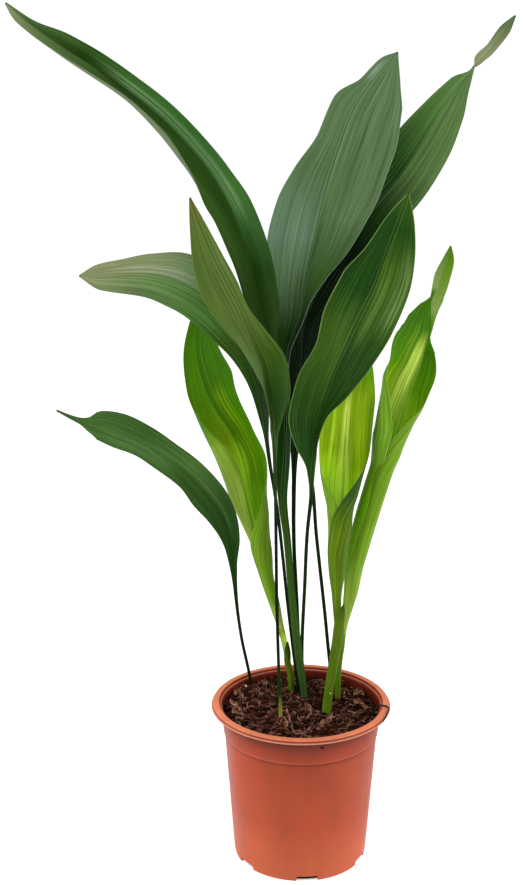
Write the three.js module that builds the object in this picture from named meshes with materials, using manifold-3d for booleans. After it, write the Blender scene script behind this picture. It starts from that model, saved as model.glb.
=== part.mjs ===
// Potted cast iron plant (Aspidistra elatior) in a 17 cm nursery pot.
// Millimetres, +Z up. The origin lies on the standing plane, under the middle of the pot.
import * as THREE from 'three';
import { mergeVertices } from 'three/addons/utils/BufferGeometryUtils.js';
import Module from 'manifold-3d';

const wasm = await Module();
wasm.setup();

// ---- Driving dimensions ----

const CLEARANCE = 0.3; // between pieces that touch

const POT = {
  height: 154,
  rimRadius: 84,
  rimInner: 76,
  lipHeight: 4,
  beadHeight: 1.8, // the lip's lower edge, which stands out all round
  beadStep: 1.3, // how far it stands out
  shoulderRadius: 75, // just under the lip
  ledgeRadius: 71.8, // the stacking ledge
  ledgeDrop: 25, // below the lip
  footRadius: 63,
  footRing: 6, // width of the ring that the pot stands on
  wall: 1.3,
  floorLift: 5, // the drained part of the floor, above the standing plane
  padRadius: 30, // the flat middle of the floor, which stands on the ground
  segments: 48,
};

const NOTCH = { count: 6, firstAngle: -85, width: 20, height: 5 };
const DRAIN_HOLE = { count: 6, radius: 3.5, ring: 45 };

const SOIL = {
  level: 140,
  lumps: 1.6, // height of the lumps in its surface
  rise: 3, // how much higher it lies at the left and the back
  dish: 4.5, // how much higher it lies by the pot's wall than in the middle
  rings: 6,
  segments: 36,
};

const RHIZOME = {
  depth: 124, // height of its upper side
  thickness: 12,
  sides: 8,
  // It creeps from foot to foot; the second run branches off the first.
  main: [[-42, 46], [-28, 50], [-9, 49], [2, 46], [4.5, 30.5], [-4, 10], [-19, -12], [-24, -17]],
  branch: [[-9, 52], [1, 59], [16, 57], [31, 50], [38, 40], [36, 28], [24, 3], [20, -4]],
};

const BLADE_THICKNESS = 0.76;

// ---- Leaves ----
// Petiole rows are x, y, z and radius. Blade rows are the midrib's x, y, z, the way that the upper
// face looks (degrees to the right of the front, -Y), then the left and the right half of the blade:
// width, fold (how far it stands up from flat at the midrib) and curl (how much more it bends by the
// margin). `ease` above 1 keeps the curl for the outer part of a half.

const LEAVES = [
  {
    // The long dark leaf that arches to the upper left.
    name: 'leaf_arching_left',
    colour: '#2a5a2a',
    stalk: 1.7,
    petiole: [
      [31, 50, 124.3, 1.7],
      [31, 50, 141, 1.7],
      [26, 51, 199, 1.7],
      [15, 51, 299, 1.7],
      [8, 51, 365, 1.8],
      [-2, 50, 399, 2.2],
    ],
    blade: [
      [-14, 49, 433, 0, [4, 10, 10], [4, 10, 10]],
      [-26, 48, 478, 0, [9, 30, 0], [5, 30, 0]],
      [-39, 45, 528, 0, [15, 35, 0], [21.5, 35, 0]],
      [-49, 41, 571, 0, [19.5, 38, 0], [24, 35, 0]],
      [-65, 36, 612, 0, [26.5, 40, 25], [24.5, 35, 0]],
      [-81, 31, 641, 0, [40, 38, 62], [20.5, 35, 0]],
      [-100, 26, 665, 0, [41, 36, 86], [20, 35, 0]],
      [-123, 20, 689, 0, [32.5, 32, 105], [20, 35, 0]],
      [-152, 14, 713, 0, [20.5, 32, 105], [18.5, 32, 0]],
      [-178, 8, 733, 0, [23, 30, 100], [16.5, 30, 0]],
      [-204, 3, 750, 0, [17, 25, 95], [14, 28, 0]],
      [-229, -2, 768, 0, [11.5, 22, 80], [5, 25, 0]],
      [-248, -6, 785, 0, [0.8, 10, 0], [0.8, 10, 0]],
    ],
  },
  {
    // The tall broad leaf at the top, on the thick green stalk.
    name: 'leaf_tall_broad',
    colour: '#4b7548',
    stalk: 2.9,
    petiole: [
      [4, 30.5, 124.3, 2.9],
      [4, 30.5, 141, 2.9],
      [-1, 34, 182, 4],
      [-5, 38, 214, 3.7],
      [-9, 44, 253, 3.4],
      [-13, 52, 299, 3.6],
      [-17, 58, 333, 4.4],
    ],
    blade: [
      [-15, 66, 375, 0, [9, 25, 0], [6.5, 40, 0]],
      [-14, 73, 415, 0, [9, 20, 0], [9, 60, 0]],
      [-14, 79, 449, 0, [9, 15, 0], [7, 75, 0]],
      [-11, 84, 474, 0, [15, 10, 0], [9, 80, 0]],
      [-1, 90, 502, 0, [30, 10, 0], [13, 75, 0]],
      [4, 98, 537, 0, [37, 12, 0], [24, 45, 0]],
      [11, 105, 571, 0, [44, 12, 0], [39.5, 30, 0]],
      [17, 111, 597, 0, [42.5, 12, 0], [46, 22, 0]],
      [25, 117, 626, 0, [35, 12, 0], [50.5, 15, 0]],
      [37, 124, 662, 0, [23, 10, 0], [51, 12, 0]],
      [49, 129, 691, 0, [22, 8, 0], [47, 10, 0]],
      [63, 132, 712, 0, [10, 5, 0], [37.5, 10, 0]],
      [77, 137, 728, 0, [8.5, 5, 0], [19, 5, 0]],
      [89, 146, 740, 0, [0.8, 5, 0], [0.8, 5, 0]],
    ],
  },
  {
    // The leaf behind it, with its tip twisted half a turn.
    name: 'leaf_twisted_tip',
    colour: '#3a7034',
    stalk: 1.8,
    petiole: [
      [1, 60, 124.3, 1.8],
      [1, 60, 142, 1.8],
      [-1, 62, 188, 1.8],
      [-3, 65, 231, 1.8],
      [-6, 70, 289, 1.9],
      [-6, 77, 347, 2.2],
    ],
    blade: [
      [-5, 84, 384, 0, [5, 10, 0], [4.5, 10, 0]],
      [-3, 92, 422, 0, [9, 20, 0], [10, 20, 0]],
      [-1, 100, 459, 0, [14, 20, 0], [15, 20, 0]],
      [2, 110, 495, 0, [15.5, 18, 0], [25, 18, 0]],
      [18, 121, 529, 0, [23.5, 15, 0], [30.5, 15, 0]],
      [47, 132, 568, 0, [30, 15, 0], [31, 15, 0]],
      [71, 140, 599, 0, [31, 15, 0], [30.5, 15, 0]],
      [94, 146, 626, 0, [30.5, 15, 0], [30, 15, 0]],
      [114, 150, 655, 0, [28, 15, 0], [28, 15, 0]],
      [135, 150, 690, 0, [19, 18, 0], [20.5, 18, 0]],
      [149, 148, 712, 0, [12, 25, 0], [10, 25, 0]],
      [158, 146, 725, 60, [4, 20, 0], [4, 20, 0]],
      [163, 145, 733, 140, [5, 15, 0], [5, 15, 0]],
      [173, 144, 746, 180, [8, 10, 0], [2, 10, 0]],
      [185, 143, 760, 180, [7, 10, 0], [4, 10, 0]],
      [196, 142, 773, 180, [0.8, 5, 0], [0.8, 5, 0]],
    ],
  },
  {
    // The broad leaf in front, to the right.
    name: 'leaf_front_right',
    colour: '#3d6e26',
    stalk: 1.7,
    petiole: [
      [3, 50, 124.3, 1.7],
      [3, 50, 141, 1.7],
      [2, 47, 185, 1.7],
      [4, 42, 253, 1.7],
      [6, 36, 311, 1.7],
      [9, 32, 346, 1.9],
    ],
    blade: [
      [10, 29, 372, 0, [6, 20, 0], [2.5, 20, 0]],
      [12, 26, 399, 0, [21, 25, 0], [6, 68, 0]],
      [16, 22, 427, 0, [31.5, 25, 0], [11, 58, 0]],
      [24, 18, 456, 0, [32, 20, 0], [21.5, 20, 0]],
      [35, 14, 485, 0, [27.5, 18, 0], [29, 18, 0]],
      [49, 9, 518, 0, [33.5, 15, 0], [32.5, 15, 0]],
      [63, 4, 550, 0, [32, 12, 0], [30.5, 15, 0]],
      [72, 0, 579, 0, [19, 10, 0], [25.5, 15, 0]],
      [81, -4, 606, 0, [11.5, 8, 0], [14.5, 12, 0]],
      [88, -8, 629, 0, [0.8, 5, 0], [0.8, 5, 0]],
    ],
  },
  {
    // The narrow leaf in front, to the left, yellowing at its tip.
    name: 'leaf_front_left',
    colour: '#5c7a2e',
    stalk: 1.6,
    petiole: [
      [-19, -12, 124.3, 1.6],
      [-19, -12, 141, 1.6],
      [-21, -12, 190, 1.5],
      [-23, -11, 259, 1.5],
      [-24, -10, 327, 1.5],
      [-25, -8, 383, 1.6],
    ],
    blade: [
      [-26, -7, 411, 0, [2.2, 20, 0], [3.5, 20, 0]],
      [-28, -7, 431, 0, [6, 75, 0], [11, 25, 0]],
      [-33, -8, 457, 0, [10, 82, 0], [24, 25, 0]],
      [-37, -9, 478, 0, [12, 58, 0], [25, 22, 0]],
      [-46, -11, 503, 0, [15.5, 45, 0], [18, 20, 0]],
      [-57, -14, 533, 0, [23.5, 20, 0], [8, 20, 0]],
      [-67, -16, 553, 0, [25, 20, 0], [10, 20, 0]],
      [-78, -19, 576, 0, [20, 20, 0], [9, 20, 0]],
      [-88, -23, 601, 0, [10.5, 15, 0], [6, 15, 0]],
      [-97, -29, 628, 0, [0.8, 5, 0], [0.8, 5, 0]],
    ],
  },
  {
    // The leaf that lies level to the left.
    name: 'leaf_level_left',
    colour: '#4f8a45',
    stalk: 1.7,
    petiole: [
      [-1, 42, 124.3, 1.7],
      [-1, 42, 142, 1.7],
      [-6, 43, 182, 1.6],
      [-12, 49, 232, 1.6],
      [-17, 56, 279, 1.6],
      [-21, 58, 315, 1.6],
      [-25, 55, 344, 1.6],
      [-29, 49, 370, 1.7],
      [-32, 42, 395, 2],
    ],
    blade: [
      [-35, 35, 422, 0, [5, 15, 0], [5, 15, 0]],
      [-41, 31, 452, 0, [8, 20, 0], [8, 20, 0]],
      [-51, 28, 482, 0, [14, 20, 0], [12, 20, 0]],
      [-65, 26, 508, 0, [21, 15, 0], [19, 15, 0]],
      [-84, 24, 531, 0, [24.5, 12, 0], [25, 12, 0]],
      [-107, 24, 546, 0, [24.5, 10, 0], [28, 10, 0]],
      [-134, 24, 554, 0, [21.5, 8, 0], [19.5, 8, 0]],
      [-160, 23, 555, 0, [18, 8, 0], [13, 8, 0]],
      [-181, 22, 554, 0, [13.5, 8, 0], [9.5, 8, 0]],
      [-198, 21, 553, 0, [0.8, 5, 0], [0.8, 5, 0]],
    ],
  },
  {
    // The short low leaf on the far left.
    name: 'leaf_low_left',
    colour: '#2f5d2a',
    stalk: 1.5,
    petiole: [
      [-41, 47, 125.1, 1.5],
      [-46, 50.5, 143, 1.5],
      [-50, 53, 163, 1.5],
      [-56, 55, 192, 1.5],
      [-60, 59, 219, 1.6],
    ],
    blade: [
      [-62, 58, 242, 0, [2, 15, 0], [2, 15, 0]],
      [-63, 57, 268, 0, [5, 20, 0], [3, 20, 0]],
      [-65, 55, 296, 0, [10.5, 20, 0], [8, 20, 0]],
      [-73, 52, 323, 0, [17, 20, 0], [12.5, 20, 0]],
      [-86, 48, 344, 0, [19.5, 18, 0], [15.5, 18, 0]],
      [-103, 44, 364, 0, [16.5, 15, 0], [15.5, 15, 0]],
      [-123, 40, 382, 0, [17, 12, 0], [14.5, 12, 0]],
      [-145, 35, 398, 0, [16, 12, 0], [16, 12, 0]],
      [-165, 31, 409, 0, [17.5, 12, 0], [17, 12, 0]],
      [-185, 27, 417, 0, [15.5, 12, 0], [12.5, 12, 0]],
      [-194, 25, 418, 0, [8, 10, 0], [5.5, 10, 0]],
      [-201, 24, 420, 0, [3.5, 8, 0], [3, 8, 0]],
      [-211, 21, 425, 0, [2, 8, 0], [1.6, 8, 0]],
      [-222, 19, 431, 0, [0.8, 5, 0], [0.8, 5, 0]],
    ],
  },
  {
    // Young leaf on the left, furled into a funnel low down.
    name: 'leaf_young_left',
    colour: '#5f9c1c',
    stalk: 1.8,
    ease: [1.4, 1],
    furled: true,
    petiole: [
      [-7.8, 45.5, 124.3, 1.8],
      [-8, 46, 143, 1.8],
      [-9, 47, 159, 1.8],
      [-12, 49, 173, 2],
    ],
    blade: [
      [-15, 52, 192, 0, [3.4, 0, 70], [3.4, 0, 70]],
      [-20, 56, 211, 0, [8, 0, 190], [15, 0, 240]],
      [-24, 60, 227, 0, [10, 0, 200], [22.5, 0, 265]],
      [-31, 65, 251, 0, [12.5, 0, 205], [29.5, 0, 270]],
      [-37, 71, 281, 0, [19.5, 0, 205], [43, 0, 245]],
      [-44, 76, 310, 0, [33.5, 0, 215], [44.5, 0, 170]],
      [-50, 80, 336, 0, [48, 0, 226], [38.5, 0, 118]],
      [-55, 83, 363, 0, [55, 0, 214], [41, 0, 98]],
      [-66, 85, 391, 0, [51, 2, 185], [33, 5, 72]],
      [-82, 87, 416, 0, [34, 6, 130], [33, 8, 48]],
      [-93, 89, 442, 0, [19.5, 10, 60], [36, 10, 40]],
      [-98, 91, 470, 0, [14, 10, 45], [25.5, 10, 30]],
      [-96, 93, 501, 0, [7.5, 10, 30], [13.5, 10, 25]],
      [-92, 95, 529, 0, [0.8, 5, 0], [0.8, 5, 0]],
    ],
  },
  {
    // Young leaf on the right, furled, with a twisted tip.
    name: 'leaf_young_right',
    colour: '#559210',
    stalk: 2.6,
    ease: [1.3, 1],
    furled: true,
    petiole: [
      [36, 28, 124.3, 2.6],
      [36, 28, 141, 2.6],
      [37, 30, 173, 2.6],
    ],
    blade: [
      [40, 34, 201, 0, [3.4, 0, 70], [3.2, 0, 70]],
      [42, 38, 219, 0, [9.5, 0, 190], [14, 0, 240]],
      [45, 41, 232, 0, [13, 0, 195], [19.5, 0, 255]],
      [48, 44, 249, 0, [18.5, 0, 200], [28.5, 0, 262]],
      [51, 48, 272, 0, [24, 0, 200], [36, 0, 266]],
      [56, 52, 294, 0, [29.5, 0, 200], [41, 0, 266]],
      [65, 58, 326, 0, [32.5, 0, 200], [43, 0, 262]],
      [75, 62, 361, 0, [32, 0, 200], [45, 0, 258]],
      [81, 64, 380, 0, [42, 0, 195], [44, 0, 222]],
      [85, 66, 397, 0, [50, 0, 200], [42, 0, 180]],
      [91, 68, 420, 0, [49, 0, 168], [41.5, 0, 140]],
      [99, 70, 443, 0, [48, 0, 118], [28, 0, 82]],
      [106, 71, 460, 0, [40, 5, 80], [23, 5, 50]],
      [113, 72, 478, 0, [36, 10, 40], [12, 10, 30]],
      [117, 72, 488, 0, [33, 10, 32], [2.5, 10, 20]],
      [119, 72, 498, 0, [30.5, 10, 30], [3, 10, 10]],
      [119, 72, 510, 0, [23, 10, 25], [6.5, 10, 5]],
      [119, 72, 518, 0, [11, 10, 10], [9.5, 10, 0]],
      [120, 72, 524, 0, [2.5, 10, 0], [10.5, 10, 0]],
      [124, 72, 532, 0, [5.5, 12, 0], [9, 12, 0]],
      [128, 72, 545, 0, [7, 12, 0], [8.5, 12, 0]],
      [133, 71, 559, 0, [5.5, 12, 0], [6, 12, 0]],
      [135, 70, 572, 0, [0.8, 5, 0], [0.8, 5, 0]],
    ],
  },
  {
    // Young leaf beside it, furled, with its blade behind the others.
    name: 'leaf_young_centre',
    colour: '#7fa50a',
    stalk: 2.5,
    ease: [1.3, 1],
    furled: true,
    petiole: [
      [24, 3, 124.3, 2.5],
      [24.5, 3.5, 141, 2.5],
      [30, 8, 184, 2.5],
    ],
    blade: [
      [34, 11, 208, 0, [3.2, 0, 70], [3.2, 0, 70]],
      [34, 15, 229, 0, [8, 0, 190], [13.5, 0, 240]],
      [33, 20, 252, 0, [11, 0, 200], [20, 0, 265]],
      [33, 25, 273, 0, [19, 0, 205], [34, 0, 268]],
      [33, 30, 293, 0, [23, 0, 205], [40, 0, 262]],
      [36, 36, 315, 0, [30, 0, 200], [45, 0, 250]],
      [37, 41, 333, 0, [34, 0, 182], [40, 0, 202]],
      [38, 44, 347, 0, [39, 0, 155], [42.5, 0, 170]],
      [39, 47, 366, 0, [37, 0, 110], [40, 0, 130]],
      [41, 51, 394, 0, [32, 0, 75], [30, 0, 75]],
      [44, 56, 431, 0, [27, 0, 50], [27, 0, 55]],
      [50, 60, 459, 0, [18, 0, 40], [18, 0, 40]],
      [59, 64, 488, 0, [0.8, 5, 0], [0.8, 5, 0]],
    ],
  },
  {
    // Scale leaf round the foot of the young leaf on the left.
    name: 'sheath_young_left',
    colour: '#4d7a1e',
    stalk: 0.3,
    blade: [
      [-7.8, 42.8, 124.3, 180, [6.1, 0, 130], [6.1, 0, 130]],
      [-8, 43, 143, 180, [6.1, 0, 130], [6.1, 0, 130]],
      [-9, 44, 159, 180, [6.1, 0, 128], [6.1, 0, 128]],
      [-12, 45, 173, 180, [5.2, 0, 100], [5.2, 0, 100]],
      [-12, 45, 180, 180, [4.3, 0, 75], [4.3, 0, 75]],
      [-12, 45, 187, 180, [2.6, 0, 40], [2.6, 0, 40]],
      [-12, 45, 194, 180, [0.8, 0, 10], [0.8, 0, 10]],
    ],
  },
  {
    // Scale leaf round the feet of the young leaves on the right.
    name: 'sheath_young_right',
    colour: '#4a7d12',
    stalk: 0.3,
    blade: [
      [24, -1, 124.3, 180, [8.6, 0, 122], [8.6, 0, 122]],
      [24.6, -0.5, 143, 180, [8.6, 0, 122], [8.6, 0, 122]],
      [30, 3, 186, 180, [8.4, 0, 115], [8.4, 0, 115]],
      [34, 5, 213, 180, [7, 0, 85], [7, 0, 85]],
      [36, 4, 234, 180, [5, 0, 52], [5, 0, 52]],
      [39, 3, 249, 180, [0.8, 0, 10], [0.8, 0, 10]],
    ],
  },
];

// Holes for the stems: x, y and radius at the rhizome's upper side, and the lean in x and y.
const STEM_HOLES = [
  [31, 50, 2.6, 0, 0],
  [4, 30.5, 3.9, 0, 0],
  [1, 60, 2.7, 0, 0],
  [3, 50, 2.6, 0, 0],
  [-19, -12, 2.5, 0, 0],
  [-1, 42, 2.6, 0, 0],
  [-41, 47, 3, -0.28, 0.2],
  [-7.8, 45.7, 4.3, 0, 0.02],
  [24, 3, 5.6, 0.04, 0.03],
  [36, 28, 3.6, 0, 0],
];

// ---- Closed bodies ----

function material(name, colour, roughness) {
  const made = new THREE.MeshStandardMaterial({ color: colour, roughness, metalness: 0 });
  made.name = name;
  return made;
}

function bodyFrom(points, faces) {
  const geometry = new THREE.BufferGeometry();
  geometry.setAttribute('position', new THREE.Float32BufferAttribute(points.flatMap((p) => p.toArray()), 3));
  geometry.setIndex(faces.flat());
  return geometry;
}

// Joins rings of equally many points into a tube. Each end is closed by a strip between the first
// half of its ring and the second, which also fits a hollow, curled section.
function loft(rings) {
  const count = rings[0].length;
  const faces = [];
  for (let i = 0; i + 1 < rings.length; i++) {
    for (let j = 0; j < count; j++) {
      const a = i * count + j;
      const b = i * count + ((j + 1) % count);
      faces.push([a, b, b + count], [a, b + count, a + count]);
    }
  }
  const last = (rings.length - 1) * count;
  for (let j = 0; j + 1 < count / 2; j++) {
    const [a, b, c, d] = [j, j + 1, count - 2 - j, count - 1 - j];
    faces.push([a, d, b], [last + a, last + b, last + d]);
    if (b !== c) faces.push([b, d, c], [last + b, last + c, last + d]);
  }
  return bodyFrom(rings.flat(), faces);
}

function solidOf(geometry) {
  const bare = geometry.clone();
  bare.deleteAttribute('normal');
  bare.deleteAttribute('uv');
  const merged = mergeVertices(bare, 1e-4);
  return new wasm.Manifold(new wasm.Mesh({
    numProp: 3,
    vertProperties: merged.attributes.position.array,
    triVerts: new Uint32Array(merged.index.array),
  }));
}

function geometryOf(solid) {
  const mesh = solid.getMesh();
  const geometry = new THREE.BufferGeometry();
  geometry.setAttribute('position', new THREE.BufferAttribute(mesh.vertProperties, 3));
  geometry.setIndex(new THREE.BufferAttribute(mesh.triVerts, 1));
  return geometry;
}

// A solid of revolution about Z from [radius, z] points, listed up the outside and down the inside.
function turned(profile, segments) {
  const points = profile.map(([radius, z]) => new THREE.Vector2(radius, z));
  return new THREE.LatheGeometry(points, segments).rotateX(Math.PI / 2);
}

// ---- Pot ----

function potInnerRadius(z) {
  const lipZ = POT.height - POT.lipHeight;
  const ledgeZ = lipZ - POT.ledgeDrop;
  if (z > ledgeZ) {
    const share = (z - ledgeZ) / POT.ledgeDrop;
    return POT.ledgeRadius + share * (POT.shoulderRadius - POT.ledgeRadius) - POT.wall;
  }
  return POT.footRadius + (z / ledgeZ) * (POT.ledgeRadius - POT.footRadius) - POT.wall;
}

function potGeometry() {
  const { height, rimRadius, rimInner, beadStep, footRadius, footRing, floorLift, padRadius, wall } = POT;
  const lipZ = height - POT.lipHeight;
  const beadTop = lipZ + POT.beadHeight;
  const ledgeZ = lipZ - POT.ledgeDrop;
  const step = 0.8; // the ledge's own width, and the rounding of the lip's edges
  const floorTop = floorLift + wall;
  const profile = [
    [0, 0],
    [padRadius, 0],
    [padRadius + 3, floorLift],
    [footRadius - footRing - 1, floorLift],
    [footRadius - footRing, 0],
    [footRadius - 1, 0],
    [footRadius, floorLift],
    [POT.ledgeRadius, ledgeZ - step],
    [POT.ledgeRadius + step, ledgeZ],
    [POT.shoulderRadius, lipZ],
    [rimRadius - step, lipZ],
    [rimRadius, lipZ + step / 2],
    [rimRadius, beadTop - step / 2],
    [rimRadius - beadStep, beadTop],
    [rimRadius - beadStep, height - step],
    [rimRadius - beadStep - step, height],
    [rimInner + 1, height],
    [rimInner, height - step],
    [rimInner - 0.4, height - 2],
    [potInnerRadius(lipZ) + 1, height - 3],
    [potInnerRadius(lipZ), lipZ],
    [potInnerRadius(ledgeZ), ledgeZ],
    [potInnerRadius(floorTop), floorTop],
    [padRadius + 4, floorTop],
    [padRadius + 1, wall],
    [0, wall],
  ];
  let solid = solidOf(turned(profile, POT.segments));
  for (let i = 0; i < NOTCH.count; i++) {
    const angle = THREE.MathUtils.degToRad(NOTCH.firstAngle + (i * 360) / NOTCH.count);
    const notch = new THREE.BoxGeometry(footRing + 3, NOTCH.width, 2 * NOTCH.height);
    notch.translate(footRadius - footRing / 2, 0, 0).rotateZ(angle);
    solid = solid.subtract(solidOf(notch));
  }
  for (let i = 0; i < DRAIN_HOLE.count; i++) {
    const angle = THREE.MathUtils.degToRad((i * 360) / DRAIN_HOLE.count);
    const hole = new THREE.CylinderGeometry(DRAIN_HOLE.radius, DRAIN_HOLE.radius, 4 * wall, 12);
    hole.rotateX(Math.PI / 2);
    hole.translate(DRAIN_HOLE.ring * Math.cos(angle), DRAIN_HOLE.ring * Math.sin(angle), floorLift);
    solid = solid.subtract(solidOf(hole));
  }
  return geometryOf(solid);
}

// ---- Smooth curves through hand-set rows ----

function knotsAlong(points) {
  const knots = [0];
  for (let i = 1; i < points.length; i++) {
    knots.push(knots[i - 1] + points[i].distanceTo(points[i - 1]));
  }
  return knots;
}

// Slopes of a cubic through values at knots: the parabola's through three points for a position,
// or the harmonic mean, which never overshoots, for a width or an angle.
function slopes(knots, values, steady) {
  const gaps = knots.slice(1).map((knot, i) => knot - knots[i]);
  const rates = gaps.map((gap, i) => (values[i + 1] - values[i]) / gap);
  return values.map((_, i) => {
    if (i === 0) return rates[0];
    if (i === values.length - 1) return rates[i - 1];
    const [before, after] = [rates[i - 1], rates[i]];
    if (!steady) return (before * gaps[i] + after * gaps[i - 1]) / (gaps[i - 1] + gaps[i]);
    return before * after > 0 ? (2 * before * after) / (before + after) : 0;
  });
}

function curveThrough(knots, values, steady) {
  const slope = slopes(knots, values, steady);
  return (at) => {
    let i = 0;
    while (i < knots.length - 2 && at > knots[i + 1]) i += 1;
    const gap = knots[i + 1] - knots[i];
    const t = (at - knots[i]) / gap;
    return values[i] * (2 * t ** 3 - 3 * t ** 2 + 1) + slope[i] * gap * (t ** 3 - 2 * t ** 2 + t)
      + values[i + 1] * (3 * t ** 2 - 2 * t ** 3) + slope[i + 1] * gap * (t ** 3 - t ** 2);
  };
}

function pathThrough(points) {
  const knots = knotsAlong(points);
  const parts = ['x', 'y', 'z'].map((axis) => curveThrough(knots, points.map((p) => p[axis]), false));
  const pointAt = (at) => new THREE.Vector3(...parts.map((part) => part(at)));
  const end = knots[knots.length - 1];
  const tangentAt = (at) => {
    const ahead = pointAt(Math.min(at + 0.5, end));
    return ahead.sub(pointAt(Math.max(at - 0.5, 0))).normalize();
  };
  return { knots, pointAt, tangentAt };
}

// ---- Leaf ----

const ARC_STEPS = 24; // along each half of a cross-section
const LONGEST_STEP = 22; // between two sections of a blade
const CUTS = { flat: 3, furled: 6 }; // faces across each half of a blade
const STALK = {
  taper: 0.75, // how much of its thickness it has lost by the tip
  reach: 1.05, // how far out it is felt, in stalk radii
  upper: 0.8, // its height above the blade and below it, in stalk radii
  lower: 0.9,
  ribShare: 0.45, // how much of the lower side remains as a rib under the blade
  blend: 3, // how many stalk radii of blade it takes to turn from stalk to rib
};

// One half of a blade's cross-section, from the midrib out: how far each point lies across and up,
// and how steeply the blade stands there.
function halfSection(width, fold, curl, ease, cuts) {
  const start = THREE.MathUtils.degToRad(fold);
  const turn = THREE.MathUtils.degToRad(curl);
  const points = [{ across: 0, up: 0, slope: start, out: 0 }];
  let across = 0;
  let up = 0;
  for (let k = 0; k < ARC_STEPS; k++) {
    const middle = start + turn * ((k + 0.5) / ARC_STEPS) ** ease;
    across += (Math.cos(middle) * width) / ARC_STEPS;
    up += (Math.sin(middle) * width) / ARC_STEPS;
    const share = (k + 1) / ARC_STEPS;
    if ((k + 1) % (ARC_STEPS / cuts) === 0) {
      points.push({ across, up, slope: start + turn * share ** ease, out: share * width });
    }
  }
  return points;
}

// Half the leaf's thickness on its upper and its lower side, at a distance out from the midrib:
// a round stalk along the petiole, and a rib under a thin blade.
function thickness(out, halfWidth, stalk) {
  const rib = Math.min(stalk, halfWidth);
  const round = rib * Math.sqrt(Math.max(0, 1 - (out / (rib * STALK.reach)) ** 2));
  const bladeShare = THREE.MathUtils.clamp((halfWidth / rib - 1) / STALK.blend, 0, 1);
  const edge = BLADE_THICKNESS / 2;
  return {
    upper: edge + (1 - bladeShare) * STALK.upper * round,
    lower: edge + (1 - bladeShare * (1 - STALK.ribShare)) * STALK.lower * round,
  };
}

function leafGeometry(leaf) {
  const petiole = (leaf.petiole ?? []).map(([x, y, z, radius]) => {
    const half = [radius, 0, 0];
    return [x, y, z, 0, half, half];
  });
  const rows = [...petiole, ...leaf.blade];
  const path = pathThrough(rows.map(([x, y, z]) => new THREE.Vector3(x, y, z)));
  const value = (pick) => curveThrough(path.knots, rows.map(pick), true);
  const facing = value((row) => row[3]);
  const halves = [4, 5].map((side) => [0, 1, 2].map((k) => value((row) => row[side][k])));
  const cuts = leaf.furled ? CUTS.furled : CUTS.flat;
  const ease = leaf.ease ?? [1, 1];
  const length = path.knots[path.knots.length - 1];

  const places = [];
  for (let i = 0; i + 1 < rows.length; i++) {
    const gap = path.knots[i + 1] - path.knots[i];
    const isSplit = i >= petiole.length && gap > LONGEST_STEP;
    places.push(path.knots[i], ...(isSplit ? [path.knots[i] + gap / 2] : []));
  }
  places.push(length);

  const rings = places.map((at) => {
    const middle = path.pointAt(at);
    const tangent = at === 0 ? new THREE.Vector3(0, 0, 1) : path.tangentAt(at); // a level foot
    const level = new THREE.Vector3(0, 1, 0).cross(tangent).normalize();
    const turn = THREE.MathUtils.degToRad(facing(at));
    const across = level.applyAxisAngle(tangent, turn);
    const up = across.clone().cross(tangent);
    const stalk = leaf.stalk * (1 - (STALK.taper * at) / length);
    const upper = [];
    const lower = [];
    [-1, 1].forEach((sign, side) => {
      const [width, fold, curl] = halves[side].map((curve) => curve(at));
      const section = halfSection(width, fold, curl, ease[side], cuts);
      const other = halves[1 - side][0](at);
      section.forEach((point, k) => {
        if (side === 1 && k === 0) return;
        const slope = k === 0 ? 0 : point.slope;
        const outward = up.clone().applyAxisAngle(tangent, -sign * slope);
        const spot = middle.clone().addScaledVector(across, sign * point.across);
        spot.addScaledVector(up, point.up);
        const deep = thickness(point.out, Math.min(width, other), stalk);
        upper.push(spot.clone().addScaledVector(outward, deep.upper));
        lower.push(spot.clone().addScaledVector(outward, -deep.lower));
      });
      if (side === 0) {
        upper.reverse();
        lower.reverse();
      }
    });
    return [...upper, ...lower.reverse()];
  });
  return loft(rings);
}

// ---- Rhizome ----

// A run along [x, y] points, flat on top, `grow` larger all round.
function rhizomeRun(route, grow) {
  const { sides } = RHIZOME;
  const radius = RHIZOME.thickness / 2 + grow;
  const height = RHIZOME.depth - RHIZOME.thickness / 2;
  const path = pathThrough(route.map(([x, y]) => new THREE.Vector3(x, y, height)));
  const corner = radius / Math.cos(Math.PI / sides);
  const end = path.knots[path.knots.length - 1];
  const places = path.knots.slice(1).flatMap((knot, i) => [path.knots[i], (path.knots[i] + knot) / 2]);
  const rings = [...places, end].map((at) => {
    const tangent = path.tangentAt(at);
    const side = new THREE.Vector3(-tangent.y, tangent.x, 0);
    const ends = new Map([[0, -grow], [end, grow]]);
    const middle = path.pointAt(at).addScaledVector(tangent, ends.get(at) ?? 0);
    return Array.from({ length: sides }, (_, k) => {
      const angle = ((k + 0.5) * 2 * Math.PI) / sides;
      return middle.clone()
        .addScaledVector(side, corner * Math.cos(angle))
        .add(new THREE.Vector3(0, 0, corner * Math.sin(angle)));
    });
  });
  return solidOf(loft(rings));
}

function rhizomeSolid(grow) {
  return rhizomeRun(RHIZOME.main, grow).add(rhizomeRun(RHIZOME.branch, grow));
}

// ---- Soil ----

function soilHeight(x, y) {
  const slope = (SOIL.rise * (y - x)) / (2 * POT.rimInner);
  const dish = SOIL.dish * (Math.hypot(x, y) / POT.rimInner) ** 4;
  const lumps = Math.sin(x / 5.3 + 1) * Math.cos(y / 6.1) + 0.6 * Math.sin(x / 2.9 - y / 3.7);
  return SOIL.level + slope + dish + SOIL.lumps * lumps;
}

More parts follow.
